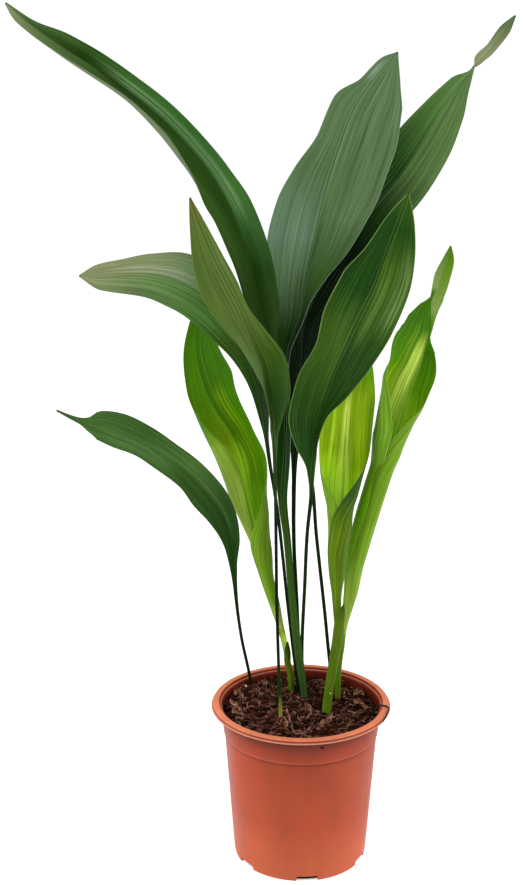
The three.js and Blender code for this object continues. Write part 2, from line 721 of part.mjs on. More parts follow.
function soilGeometry() {
  const gap = CLEARANCE;
  const floorTop = POT.floorLift + POT.wall;
  const ledgeZ = POT.height - POT.lipHeight - POT.ledgeDrop;
  // The side follows the inside of the pot; the surface above it is uneven.
  const side = [
    [0, POT.wall + gap],
    [POT.padRadius, POT.wall + gap],
    [POT.padRadius + 3, floorTop + gap],
    [potInnerRadius(floorTop) - 2 * gap, floorTop + gap],
    [potInnerRadius(ledgeZ) - 2 * gap, ledgeZ],
  ];
  const edge = potInnerRadius(SOIL.level) - 2 * gap;
  for (let i = SOIL.rings; i >= 0; i--) side.push([(edge * i) / SOIL.rings, SOIL.level]);
  const geometry = turned(side, SOIL.segments);
  const position = geometry.getAttribute('position');
  for (let i = 0; i < position.count; i++) {
    if (position.getZ(i) > ledgeZ + 1) {
      position.setZ(i, soilHeight(position.getX(i), position.getY(i)));
    }
  }
  let solid = solidOf(geometry).subtract(rhizomeSolid(CLEARANCE));
  STEM_HOLES.forEach(([x, y, radius, leanX, leanY]) => {
    const low = RHIZOME.depth - 4;
    const high = SOIL.level + 12;
    const hole = new THREE.CylinderGeometry(radius, radius, high - low, 12);
    hole.rotateX(Math.PI / 2).translate(0, 0, (high + low) / 2 - RHIZOME.depth);
    const lean = new THREE.Matrix4().set(1, 0, leanX, x, 0, 1, leanY, y, 0, 0, 1, RHIZOME.depth, 0, 0, 0, 1);
    solid = solid.subtract(solidOf(hole.applyMatrix4(lean)));
  });
  return geometryOf(solid);
}

// ---- The whole plant ----

const group = new THREE.Group();

function addPiece(name, geometry, colour, roughness) {
  const mesh = new THREE.Mesh(geometry, material(name, colour, roughness));
  mesh.name = name;
  group.add(mesh);
}

addPiece('pot', potGeometry(), '#c4633c', 0.5);
addPiece('potting_soil', soilGeometry(), '#3d2a22', 1);
addPiece('rhizome', geometryOf(rhizomeSolid(0)), '#8a6a48', 0.9);
LEAVES.forEach((leaf) => addPiece(leaf.name, leafGeometry(leaf), leaf.colour, 0.45));

export default group;
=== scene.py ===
import math

import bmesh
import bpy
import numpy as np
from mathutils import Matrix, Vector, noise


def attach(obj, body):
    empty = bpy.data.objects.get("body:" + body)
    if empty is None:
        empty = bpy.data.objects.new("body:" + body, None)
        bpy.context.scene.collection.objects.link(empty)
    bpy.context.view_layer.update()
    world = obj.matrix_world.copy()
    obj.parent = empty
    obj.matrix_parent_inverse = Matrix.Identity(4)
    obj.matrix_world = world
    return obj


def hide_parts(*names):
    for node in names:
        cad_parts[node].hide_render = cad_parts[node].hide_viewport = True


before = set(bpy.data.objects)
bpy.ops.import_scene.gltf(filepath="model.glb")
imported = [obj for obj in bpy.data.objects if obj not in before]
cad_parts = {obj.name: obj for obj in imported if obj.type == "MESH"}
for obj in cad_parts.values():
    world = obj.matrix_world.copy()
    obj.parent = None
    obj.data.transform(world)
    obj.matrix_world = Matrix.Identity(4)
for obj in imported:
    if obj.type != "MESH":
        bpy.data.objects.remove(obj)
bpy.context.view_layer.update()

# ---- Where the plant stands ----
# A plain white studio floor, lit from all round by a pale room, with soft windows of light to the left,
# to the right and above.

CAMERA_SPOT = (-0.037, -1.340, 0.793)
CAMERA_DIP = 16.1  # degrees below level
CAMERA_LENS = 63.38
CAMERA_FILM = 36  # mm wide
ROOM_LIGHT = 0.42
FLOOR_GLOW = 0.68
FLOOR_HALF = 900  # m
FLOOR_Z = -0.0005  # m, a hair below the pot's foot
DEEP_SHADE, FULL_LIGHT = 0.0565, 0.0595  # m from the middle of the pot, under its foot ring


def node(tree, kind, inputs=(), **settings):
    """Adds a shader or geometry node; `inputs` maps socket names or numbers to values or sockets."""
    made = tree.nodes.new(kind)
    for setting, value in settings.items():
        setattr(made, setting, value)
    for socket, value in dict(inputs).items():
        if isinstance(value, bpy.types.NodeSocket):
            tree.links.new(value, made.inputs[socket])
        else:
            made.inputs[socket].default_value = value
    return made


def colour(hex_code):
    """A linear RGBA colour from a display colour such as #c4633c."""
    parts = [int(hex_code[i:i + 2], 16) / 255 for i in (1, 3, 5)]
    return (*[c / 12.92 if c <= 0.04045 else ((c + 0.055) / 1.055) ** 2.4 for c in parts], 1.0)


class Finish:
    """A material under construction: its Principled shader, and the nodes that lead to it."""

    def __init__(self, name, **constants):
        self.material = bpy.data.materials.new(name)
        self.material.use_nodes = True
        self.tree = self.material.node_tree
        self.tree.nodes.clear()
        self.shader = self.node("ShaderNodeBsdfPrincipled")
        for label, value in constants.items():
            self.shader.inputs[SOCKETS[label]].default_value = value
        self.node("ShaderNodeOutputMaterial", {"Surface": self.shader.outputs["BSDF"]})

    def node(self, kind, inputs=(), **settings):
        return node(self.tree, kind, inputs, **settings)

    def feed(self, label, value):
        """Leads a value to the shader."""
        self.tree.links.new(value, self.shader.inputs[SOCKETS[label]])

    def place(self):
        """Where a point lies, in metres."""
        return self.node("ShaderNodeTexCoord").outputs["Object"]

    def read(self, label):
        """A number stored on the points of the mesh."""
        return self.node("ShaderNodeAttribute", attribute_name=label).outputs["Fac"]

    def noise(self, spot, scale, detail, roughness=0.5):
        inputs = {"Vector": spot, "Scale": scale, "Detail": detail, "Roughness": roughness}
        return self.node("ShaderNodeTexNoise", inputs).outputs["Fac"]

    def maths(self, kind, *values):
        return self.node("ShaderNodeMath", dict(enumerate(values)), operation=kind).outputs[0]

    def vectors(self, kind, *values):
        return self.node("ShaderNodeVectorMath", dict(enumerate(values)), operation=kind).outputs

    def scaled(self, hue, share):
        """A colour made lighter or darker."""
        return self.node("ShaderNodeVectorMath", {0: hue, "Scale": share}, operation="SCALE").outputs[0]

    def ranged(self, value, low, high, start, end, kind="LINEAR"):
        """Runs from start to end while a value runs from low to high."""
        inputs = {0: value, 1: low, 2: high, 3: start, 4: end}
        return self.node("ShaderNodeMapRange", inputs, interpolation_type=kind).outputs[0]

    def eased(self, value, low, high, start, end):
        """As ranged, with a soft start and end."""
        return self.ranged(value, low, high, start, end, "SMOOTHSTEP")

    def blend(self, share, first, second):
        """The second colour laid over the first."""
        return self.node("ShaderNodeMix", {0: share, 6: first, 7: second}, data_type="RGBA").outputs[2]

    def hues(self, value, stops):
        """A colour that runs through hues: each stop is its place and its display colour."""
        made = self.node("ShaderNodeValToRGB", {0: value})
        elements = made.color_ramp.elements
        elements.remove(elements[1])
        for number, (place, hue) in enumerate(stops):
            element = elements.new(place) if number else elements[0]
            element.position = place
            element.color = colour(hue)
        return made.outputs[0]

    def relief(self, height, strength, depth):
        """Fine relief, up to a depth in metres."""
        bump = self.node("ShaderNodeBump", {"Strength": strength, "Distance": depth, "Height": height})
        self.feed("relief", bump.outputs[0])


SOCKETS = {
    "hue": "Base Color", "roughness": "Roughness", "gloss": "Specular IOR Level", "relief": "Normal",
    "glow": "Emission Color", "glow_strength": "Emission Strength",
}


def mesh_piece(name, points, faces, finish):
    """A smooth object at the origin from points in metres."""
    mesh = bpy.data.meshes.new(name)
    mesh.from_pydata([tuple(map(float, p)) for p in points], [], faces)
    mesh.polygons.foreach_set("use_smooth", [True] * len(mesh.polygons))
    mesh.materials.append(finish.material)
    mesh.update()
    piece = bpy.data.objects.new(name, mesh)
    scene.collection.objects.link(piece)
    return piece


def soft_light(name, spot, target, size, power):
    """A square area light that faces its target."""
    lamp = bpy.data.lights.new(name, "AREA")
    lamp.size = size
    lamp.energy = power
    holder = bpy.data.objects.new(name, lamp)
    holder.location = spot
    holder.rotation_euler = (Vector(target) - Vector(spot)).to_track_quat("-Z", "Y").to_euler()
    scene.collection.objects.link(holder)


scene = bpy.context.scene
scene.view_settings.view_transform = "Standard"

camera = bpy.data.objects.new("camera", bpy.data.cameras.new("camera"))
camera.data.lens = CAMERA_LENS
camera.data.sensor_width = CAMERA_FILM
camera.location = CAMERA_SPOT
camera.rotation_euler = (math.radians(90 - CAMERA_DIP), 0, 0)
scene.collection.objects.link(camera)
scene.camera = camera

room = bpy.data.worlds.new("pale_room")
room.use_nodes = True
room.node_tree.nodes["Background"].inputs["Color"].default_value = (1, 1, 1, 1)
room.node_tree.nodes["Background"].inputs["Strength"].default_value = ROOM_LIGHT
scene.world = room

soft_light("window_left", (-1.9, -0.5, 1.5), (0, 0, 0.35), 1.3, 22)
soft_light("window_right", (1.9, -0.4, 1.2), (0, 0, 0.3), 1.2, 17)
soft_light("window_above", (-0.3, -0.9, 2.2), (0, 0, 0.4), 1.0, 9)

studio_floor = Finish("studio_floor", roughness=0.9, glow_strength=FLOOR_GLOW)
level = studio_floor.vectors("MULTIPLY", studio_floor.place(), (1, 1, 0))[0]
from_pot = studio_floor.vectors("LENGTH", level)["Value"]
# It lies in deep shade inside the pot's foot ring, which the notches show.
lit = studio_floor.ranged(from_pot, DEEP_SHADE, FULL_LIGHT, 0.0, 1.0)
studio_floor.feed("hue", studio_floor.blend(lit, (0.03, 0.012, 0.008, 1), (0.95, 0.95, 0.95, 1)))
studio_floor.feed("glow", studio_floor.blend(lit, (0, 0, 0, 1), (1, 1, 1, 1)))
corners = [(FLOOR_HALF * x, FLOOR_HALF * y, FLOOR_Z) for x, y in ((-1, -1), (1, -1), (1, 1), (-1, 1))]
floor = mesh_piece("floor", corners, [(0, 1, 2, 3)], studio_floor)

# ---- Pot ----
# A 17 cm nursery pot, moulded in terracotta-coloured plastic: a tapering wall with a stacking ledge,
# a thin lip whose lower edge stands out as a bead, and a foot ring cut by six notches.

POT_HEIGHT = 154  # mm, as all the pot's sizes
POT_WALL = 1.3
POT_SIDES = 180
LIP_Z = 150
LEDGE_Z = 125
FLOOR_LIFT = 5
NOTCHES = 6
NOTCH_FIRST = -85  # degrees
NOTCH_SIZE = (9, 20, 10)
NOTCH_ROUND = 1.2
NOTCH_RING = 60
DRAIN_HOLES = 6
DRAIN_RADIUS = 3.5
DRAIN_RING = 45
DRAIN_DEPTH = 5.2
SHARP_EDGE = 38  # degrees


def rounded(profile, fine=3):
    """Cuts each corner of a [radius, z, cut] outline with a small arc of that size."""
    points = []
    for i, (radius, z, cut) in enumerate(profile):
        here = np.array([radius, z])
        if not cut or i in (0, len(profile) - 1):
            points.append(here)
            continue
        before = np.array(profile[i - 1][:2]) - here
        after = np.array(profile[i + 1][:2]) - here
        start = here + before / np.linalg.norm(before) * cut
        end = here + after / np.linalg.norm(after) * cut
        for k in range(fine + 1):
            t = k / fine
            points.append(start * (1 - t) ** 2 + 2 * here * t * (1 - t) + end * t**2)
    return points


def ring(radius, z, sides):
    """Points in metres on a level circle, from a radius in mm and a height in mm, or a height for a place."""
    points = []
    for k in range(sides):
        angle = 2 * math.pi * k / sides
        x, y = radius * math.cos(angle), radius * math.sin(angle)
        points.append((x / 1000, y / 1000, (z(x, y) if callable(z) else z) / 1000))
    return points


def turned(outline, sides, finish, name):
    """Turns an outline in mm, closed on the axis at both ends, into a solid about Z."""
    points = [spot for r, z in outline[1:-1] for spot in ring(r, z, sides)]
    low, high = len(points), len(points) + 1
    points += [(0, 0, outline[0][1] / 1000), (0, 0, outline[-1][1] / 1000)]
    return mesh_piece(name, points, stacked_faces(len(outline) - 2, sides, 0, low, high), finish)


def stacked_faces(rings, sides, first, low, high):
    """The faces of rings of points that lie one above the other, closed by a point at each end."""
    faces = []
    last = first + (rings - 1) * sides
    for k in range(sides):
        beside = (k + 1) % sides
        faces.append((low, first + beside, first + k))
        for a in range(first, last, sides):
            faces.append((a + k, a + beside, a + beside + sides, a + k + sides))
        faces.append((last + k, last + beside, high))
    return faces


pot_plastic = Finish("terracotta_plastic", gloss=0.2)
spot = pot_plastic.place()
cloud = pot_plastic.noise(spot, 22, 4, 0.6)
stretched = pot_plastic.node("ShaderNodeMapping", {"Vector": spot, "Scale": (1, 1, 0.25)})
flow = pot_plastic.noise(stretched.outputs[0], 55, 5)
mixed = pot_plastic.node("ShaderNodeMix", {0: 0.45, 2: cloud, 3: flow}, data_type="FLOAT").outputs[0]
place = pot_plastic.node("ShaderNodeSeparateXYZ", {"Vector": spot})
height = place.outputs["Z"]
# The colour by height: lighter towards the foot, a painted highlight along the ledge above a painted
# shadow line, painted shade darkening the wall under the lip, and painted highlights on the lip's bead
# and its top, with painted shade on the band between them.
outer_hue = pot_plastic.hues(pot_plastic.ranged(height, 0.0, 0.16, 0.0, 1.0), [
    (0.0, "#b85836"), (0.35, "#a84424"), (0.75, "#9a3a1a"), (0.767, "#88300f"), (0.775, "#6c200a"),
    (0.783, "#b04a2a"), (0.795, "#9a3a1a"), (0.85, "#8a3010"), (0.895, "#641e06"), (0.925, "#320600"),
    (0.935, "#200200"), (0.939, "#e08c6e"), (0.944, "#e89a7e"), (0.947, "#7a240c"), (0.954, "#8a2c10"),
    (0.958, "#e4845e"),
])
# Inside the wall the plastic is clean and deep red-brown, darkened lower down by painted shade; a painted
# highlight line runs round the small step under the rim, between two painted lines of shade.
facing = pot_plastic.node("ShaderNodeNewGeometry").outputs["Normal"]
outwards = pot_plastic.vectors("NORMALIZE", pot_plastic.vectors("MULTIPLY", spot, (1, 1, 0))[0])[0]
side_facing = pot_plastic.vectors("DOT_PRODUCT", outwards, facing)["Value"]
is_inside = pot_plastic.ranged(side_facing, -0.2, -0.6, 0.0, 1.0)
inner_hue = pot_plastic.hues(pot_plastic.ranged(height, 0.145, 0.155, 0.0, 1.0), [
    (0.0, "#601808"), (0.6, "#74220e"), (0.63, "#c06c4c"), (0.7, "#c8765a"), (0.73, "#6a1c0a"),
    (0.86, "#983c22"),
])
walls = pot_plastic.blend(is_inside, outer_hue, inner_hue)
# The moulding's own clouds of lighter and darker plastic; painted light makes the wall's sides lighter,
# and painted shade makes its front and back darker.
clouds = pot_plastic.ranged(mixed, 0.36, 0.62, 0.87, 1.11)
sideways = pot_plastic.maths("ABSOLUTE", place.outputs["X"])
painted_side_light = pot_plastic.ranged(sideways, 0.015, 0.06, 0.94, 1.12)
clouded = pot_plastic.scaled(walls, pot_plastic.maths("MULTIPLY", clouds, painted_side_light))
specks = pot_plastic.node("ShaderNodeTexVoronoi", {"Vector": spot, "Scale": 60, "Randomness": 1.0})
speck_size = pot_plastic.ranged(pot_plastic.noise(spot, 31, 1), 0.66, 0.8, 0.0, 0.09)
is_speck = pot_plastic.maths("LESS_THAN", specks.outputs["Distance"], speck_size)
soiled = pot_plastic.blend(pot_plastic.maths("MULTIPLY", is_speck, 0.7), clouded, colour("#4a2015"))
pot_plastic.feed("hue", soiled)
pot_plastic.feed("roughness", pot_plastic.ranged(flow, 0.3, 0.7, 0.42, 0.58))
pot_plastic.relief(pot_plastic.noise(spot, 420, 3), 0.12, 0.0003)

pot_outline = rounded([
    (0, 0, 0), (30, 0, 0.6), (33, FLOOR_LIFT, 0.6), (56, FLOOR_LIFT, 0.6), (57, 0, 0.4), (62.2, 0, 0.5),
    (63, FLOOR_LIFT, 0), (71.75, LEDGE_Z - 0.8, 0.3), (72.6, LEDGE_Z, 0.35), (75, LIP_Z, 0.8),
    (83.4, LIP_Z, 0.3), (84, LIP_Z + 0.4, 0.25), (84, LIP_Z + 1, 0.25), (82.7, LIP_Z + 1.4, 0.25),
    (82.7, 153.2, 0.4), (81.9, POT_HEIGHT, 0.5), (77, POT_HEIGHT, 0.5), (76, 153.2, 0.4), (75.8, 151.7, 0.2),
    (74.7, 151.4, 0.2), (73.7, LIP_Z, 0.4), (70.5, LEDGE_Z, 0.4), (62.1, FLOOR_LIFT + POT_WALL, 0.6),
    (34, FLOOR_LIFT + POT_WALL, 0.4), (31, POT_WALL, 0.4), (0, POT_WALL, 0),
])
pot = turned(pot_outline, POT_SIDES, pot_plastic, "nursery_pot")
cut_mesh = bpy.data.meshes.new("pot_cuts")
together = bmesh.new()
for i in range(NOTCHES):
    turn = Matrix.Rotation(math.radians(NOTCH_FIRST + 360 / NOTCHES * i), 4, "Z")
    notch = bmesh.new()
    size = Matrix.Diagonal((*[side / 1000 for side in NOTCH_SIZE], 1))
    bmesh.ops.create_cube(notch, size=1, matrix=size)
    bmesh.ops.bevel(
        notch, geom=notch.edges[:], offset=NOTCH_ROUND / 1000, segments=2, affect="EDGES", profile=0.5,
    )
    notch.transform(turn @ Matrix.Translation((NOTCH_RING / 1000, 0, 0)))
    notch.to_mesh(cut_mesh)
    notch.free()
    together.from_mesh(cut_mesh)
for x, y, z in ring(DRAIN_RING, FLOOR_LIFT, DRAIN_HOLES):
    bmesh.ops.create_cone(
        together, cap_ends=True, segments=24, radius1=DRAIN_RADIUS / 1000, radius2=DRAIN_RADIUS / 1000,
        depth=DRAIN_DEPTH / 1000, matrix=Matrix.Translation((x, y, z)),
    )
together.to_mesh(cut_mesh)
together.free()
cuts = bpy.data.objects.new("pot_cuts", cut_mesh)
scene.collection.objects.link(cuts)
carve = pot.modifiers.new("notches", "BOOLEAN")
carve.operation = "DIFFERENCE"
carve.object = cuts
carve.solver = "EXACT"


def settled(piece, modifier):
    """Gives a piece the mesh that its modifier makes, and takes the modifier off."""
    bpy.context.view_layer.update()
    made = bpy.data.meshes.new_from_object(piece.evaluated_get(bpy.context.evaluated_depsgraph_get()))
    piece.modifiers.remove(modifier)
    piece.data = made
    made.polygons.foreach_set("use_smooth", [True] * len(made.polygons))


settled(pot, carve)
bpy.data.objects.remove(cuts)
pot.data.set_sharp_from_angle(angle=math.radians(SHARP_EDGE))
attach(pot, "root")
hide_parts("pot")

# ---- Potting soil ----
# Loose dark compost of composted bark, peat and coir, filled nearly to the rim by the wall and lying
# lower in the middle and at the right. The rhizome creeps through it out of sight.

SOIL_LEVEL = 140  # mm
SOIL_EDGE = 71.7
SOIL_RINGS, SOIL_SPOKES = 56, 176
SOIL_TONE = 0.25
SOIL_SIDE = [(30, 1.6), (33, 6.6), (61.2, 6.6), (69.9, LEDGE_Z)]  # radius and height, up the wall


def soil_height(x, y):
    """Height in mm of the compost at a place, lumps and hollows included."""
    slope = 3 * (y - x) / 152 + 4.5 * (math.hypot(x, y) / 76) ** 4
    clods = 3.0 * noise.fractal((x / 12, y / 12, 3.1), 0.9, 2.1, 4)
    grit = 1.3 * noise.noise((x / 2.6, y / 2.6, 8.4))
    return SOIL_LEVEL + slope + clods + grit


compost = Finish("crumbly_compost", gloss=0.05)
spot = compost.place()
patches = compost.noise(spot, 90, 6, 0.65)
fine_grit = compost.noise(spot, 480, 4, 0.7)
tone_sum = compost.maths("MULTIPLY_ADD", fine_grit, 0.95, compost.maths("ADD", patches, compost.read("tone")))
compost.feed("hue", compost.hues(compost.ranged(tone_sum, 0.88, 2.0, 0.0, 1.0), [
    (0.0, "#0a0302"), (0.3, "#240e06"), (0.52, "#442417"), (0.74, "#704636"), (1.0, "#b98a74"),
]))
compost.feed("roughness", compost.ranged(patches, 0.4, 0.6, 0.6, 0.95))
compost.relief(fine_grit, 0.8, 0.0012)

points = [(0, 0, 0.0016)]
for r, z in SOIL_SIDE:
    points += ring(r, z, SOIL_SPOKES)
for i in range(SOIL_RINGS, 0, -1):
    points += ring(SOIL_EDGE * i / SOIL_RINGS, soil_height, SOIL_SPOKES)
points.append((0, 0, soil_height(0, 0) / 1000))
faces = stacked_faces(len(SOIL_SIDE) + SOIL_RINGS, SOIL_SPOKES, 1, 0, len(points) - 1)
soil = mesh_piece("compost", points, faces, compost)
tones = soil.data.attributes.new("tone", "FLOAT", "POINT")
tones.data.foreach_set("value", [SOIL_TONE] * len(points))
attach(soil, "root")
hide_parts("potting_soil")

rhizome_bark = Finish("rhizome_bark", roughness=0.85)
scars = rhizome_bark.noise(rhizome_bark.place(), 140, 5)
rhizome_bark.feed("hue", rhizome_bark.hues(scars, [(0.0, "#5b4430"), (1.0, "#a88c66")]))
rhizome_bark.relief(scars, 0.6, 0.0008)
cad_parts["rhizome"].data.materials.clear()
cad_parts["rhizome"].data.materials.append(rhizome_bark.material)

# ---- Crumbs, bark and coir on the soil ----
# The compost's loose top: dark crumbs, flat chips of composted bark, and hair-thin coir fibres, all
# lying as they fell.

OPEN_TOP = 69.5  # mm, the radius that they lie within
TOP_RINGS, TOP_SPOKES = 30, 96


def nodes_group(name, inputs):
    """A Geometry Nodes tree with a geometry input and output, and named inputs of its own."""
    tree = bpy.data.node_groups.new(name, "GeometryNodeTree")
    tree.interface.new_socket("Geometry", in_out="INPUT", socket_type="NodeSocketGeometry")
    for label, (kind, value) in inputs.items():
        made = tree.interface.new_socket(label, in_out="INPUT", socket_type="NodeSocket" + kind)
        if value is not None:
            made.default_value = value
    tree.interface.new_socket("Geometry", in_out="OUTPUT", socket_type="NodeSocketGeometry")
    return tree, tree.nodes.new("NodeGroupInput").outputs, tree.nodes.new("NodeGroupOutput")


def grown(tree, base, name, **values):
    """Runs a tree on a copy of a base mesh and returns the result as a plain mesh piece."""
    piece = bpy.data.objects.new(name, base.copy())
    scene.collection.objects.link(piece)
    run = piece.modifiers.new("grow", "NODES")
    run.node_group = tree
    for item in tree.interface.items_tree:
        if item.in_out == "INPUT" and item.name in values:
            run[item.identifier] = values[item.name]
    settled(piece, run)
    return piece


def strewn(tree, given, shape, sizes, tilts, tones, lie_seed):
    """Lays a shape at random points of a surface, turned and sized at random, each with a tone of its own."""
    seed = given["Seed"]
    inputs = {"Mesh": given["Geometry"], "Density": given["Per square metre"], "Seed": seed}
    fallen = node(tree, "GeometryNodeDistributePointsOnFaces", inputs)
    size_range = {2: given[sizes[0]], 3: given[sizes[1]], "Seed": seed}
    size = node(tree, "FunctionNodeRandomValue", size_range, data_type="FLOAT")
    turns = {0: tilts[0], 1: tilts[1], "Seed": lie_seed}
    lie = node(tree, "FunctionNodeRandomValue", turns, data_type="FLOAT_VECTOR")
    laid = node(
        tree, "GeometryNodeInstanceOnPoints",
        {"Points": fallen.outputs["Points"], "Instance": shape, "Rotation": lie.outputs["Value"],
         "Scale": size.outputs[1]},
    )
    own_tone = node(
        tree, "FunctionNodeRandomValue", {2: tones[0], 3: tones[1], "Seed": 9}, data_type="FLOAT",
    )
    toned = node(
        tree, "GeometryNodeStoreNamedAttribute",
        {"Geometry": laid.outputs["Instances"], "Name": "tone", "Value": own_tone.outputs[1]},
        data_type="FLOAT", domain="INSTANCE",
    )
    return node(tree, "GeometryNodeRealizeInstances", {"Geometry": toned.outputs["Geometry"]}).outputs[0]


def ragged(tree, geometry, scale, middle, strength, sunk=None):
    """Shifts points by a noise about its middle, and down by as much as they are sunk."""
    waves = node(tree, "ShaderNodeTexNoise", {"Scale": scale, "Detail": 2.0})
    centred = node(
        tree, "ShaderNodeVectorMath", {0: waves.outputs["Color"], 1: middle}, operation="SUBTRACT",
    )
    shift = node(tree, "ShaderNodeVectorMath", {0: centred.outputs[0], "Scale": strength}, operation="SCALE")
    if sunk:
        down = node(tree, "ShaderNodeCombineXYZ", {"Z": sunk})
        parts = {0: shift.outputs[0], 1: down.outputs[0]}
        shift = node(tree, "ShaderNodeVectorMath", parts, operation="SUBTRACT")
    moved = {"Geometry": geometry, "Offset": shift.outputs[0]}
    return node(tree, "GeometryNodeSetPosition", moved).outputs[0]


def finished(tree, given, result, geometry):
    """Gives the strewn pieces their finish, and hands them over."""
    painted = node(tree, "GeometryNodeSetMaterial", {"Geometry": geometry, "Material": given["Finish"]})
    tree.links.new(painted.outputs[0], result.inputs["Geometry"])


crumb_tree, given, result = nodes_group("loose_crumbs", {
    "Per square metre": ("Float", 1000.0), "Seed": ("Int", 1), "Detail": ("Int", 2),
    "Smallest": ("Float", 0.001), "Largest": ("Float", 0.003), "Shape": ("Vector", (1, 1, 1)),
    "Roughness": ("Float", 0.001), "Sunk": ("Float", 0.0), "Finish": ("Material", None),
})
crumb = node(crumb_tree, "GeometryNodeMeshIcoSphere", {"Radius": 0.5, "Subdivisions": given["Detail"]})
flattened = {"Geometry": crumb.outputs["Mesh"], "Scale": given["Shape"]}
shaped = node(crumb_tree, "GeometryNodeTransform", flattened)
real = strewn(
    crumb_tree, given, shaped.outputs["Geometry"], ("Smallest", "Largest"),
    tilts=((-0.5, -0.5, 0.0), (0.5, 0.5, 6.283)), tones=(0.0, 0.75), lie_seed=5,
)
rough = ragged(crumb_tree, real, 420.0, (0.5, 0.5, 0.5), given["Roughness"], given["Sunk"])
finished(crumb_tree, given, result, rough)

fibre_tree, given, result = nodes_group("coir_fibres", {
    "Per square metre": ("Float", 1000.0), "Seed": ("Int", 1), "Shortest": ("Float", 0.008),
    "Longest": ("Float", 0.026), "Thickness": ("Float", 0.0005), "Bend": ("Float", 0.01),
    "Finish": ("Material", None),
})
straight = node(fibre_tree, "GeometryNodeCurvePrimitiveLine", {"Start": (-0.5, 0, 0), "End": (0.5, 0, 0)})
cut_up = node(fibre_tree, "GeometryNodeResampleCurve", {"Curve": straight.outputs["Curve"], "Count": 8})
real = strewn(
    fibre_tree, given, cut_up.outputs["Curve"], ("Shortest", "Longest"),
    tilts=((0.0, -0.16, 0.0), (0.0, 0.16, 6.283)), tones=(0.2, 1.0), lie_seed=3,
)
bent = ragged(fibre_tree, real, 110.0, (0.5, 0.5, 0.42), given["Bend"])
wire = node(fibre_tree, "GeometryNodeCurvePrimitiveCircle", {"Resolution": 4, "Radius": given["Thickness"]})
tubes = node(
    fibre_tree, "GeometryNodeCurveToMesh",
    {"Curve": bent, "Profile Curve": wire.outputs["Curve"], "Fill Caps": True},
)
finished(fibre_tree, given, result, tubes.outputs["Mesh"])

# They lie on the open top of the compost, a little way in from the wall.
top_points = []
for i in range(1, TOP_RINGS + 1):
    top_points += ring(OPEN_TOP * i / TOP_RINGS, soil_height, TOP_SPOKES)
middle = len(top_points)
top_points.append((0, 0, soil_height(0, 0) / 1000))
top_faces = []
for a in range(0, middle - TOP_SPOKES, TOP_SPOKES):
    for k in range(TOP_SPOKES):
        beside = (k + 1) % TOP_SPOKES
        top_faces.append((a + k, a + k + TOP_SPOKES, a + beside + TOP_SPOKES, a + beside))
top_faces += [(middle, k, (k + 1) % TOP_SPOKES) for k in range(TOP_SPOKES)]
soil_top = bpy.data.meshes.new("soil_top")
soil_top.from_pydata(top_points, [], top_faces)

fine_crumbs = grown(crumb_tree, soil_top, "fine_crumbs", **{
    "Per square metre": 260000.0, "Seed": 3, "Detail": 1, "Smallest": 0.0012, "Largest": 0.0032,
    "Shape": (1.3, 1.0, 0.8), "Roughness": 0.0016, "Sunk": 0.0002, "Finish": compost.material,
})
clods = grown(crumb_tree, soil_top, "clods", **{
    "Per square metre": 30000.0, "Seed": 11, "Detail": 2, "Smallest": 0.004, "Largest": 0.0095,
    "Shape": (1.2, 1.0, 0.7), "Roughness": 0.0042, "Sunk": 0.0012, "Finish": compost.material,
})
bark_chips = grown(crumb_tree, soil_top, "bark_chips", **{
    "Per square metre": 26000.0, "Seed": 23, "Detail": 2, "Smallest": 0.0035, "Largest": 0.0085,
    "Shape": (1.9, 0.8, 0.2), "Roughness": 0.0034, "Sunk": -0.0006, "Finish": compost.material,
})
fibres = grown(fibre_tree, soil_top, "coir_fibres", **{
    "Per square metre": 52000.0, "Seed": 7, "Shortest": 0.006, "Longest": 0.02, "Thickness": 0.0004,
    "Bend": 0.016, "Finish": compost.material,
})
for piece in (fine_crumbs, clods, bark_chips, fibres):
    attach(piece, "root")

# ---- Dry husks, perlite and a stray root ----
# Papery scale leaves that the plant has shed lie curled on the soil, most by the front rim and the left
# wall, with a few white perlite grains; one thin dead root hangs over the rim at the right.

HUSK_LIFT = 2.4  # mm, on top of the crumbs
HUSK_SKIN = 0.22  # mm, half a husk's thickness
HUSK_ACROSS, HUSK_ALONG = 6, 6
HUSK_LEAN = 0.15  # how much of it lies left of its path
GRAIN_LIFT = 3.0  # mm
ROOT_SIDES = 6
ROOT_TAPER = 0.05  # mm thinner at each step

husk_skin = Finish("dry_husk", roughness=0.8, gloss=0.12)
wear = husk_skin.noise(husk_skin.place(), 260, 4, 0.65)
husk_skin.feed("hue", husk_skin.hues(wear, [(0.36, "#4a281a"), (0.66, "#c48a70")]))
husk_skin.relief(wear, 0.6, 0.0006)
fresh_husk_skin = Finish("fresh_husk", hue=colour("#b4703c"), roughness=0.7, gloss=0.12)
perlite_skin = Finish("perlite", hue=colour("#d8cbbb"), roughness=0.9)
root_skin = Finish("dead_root", hue=colour("#1c0c08"), roughness=0.8)


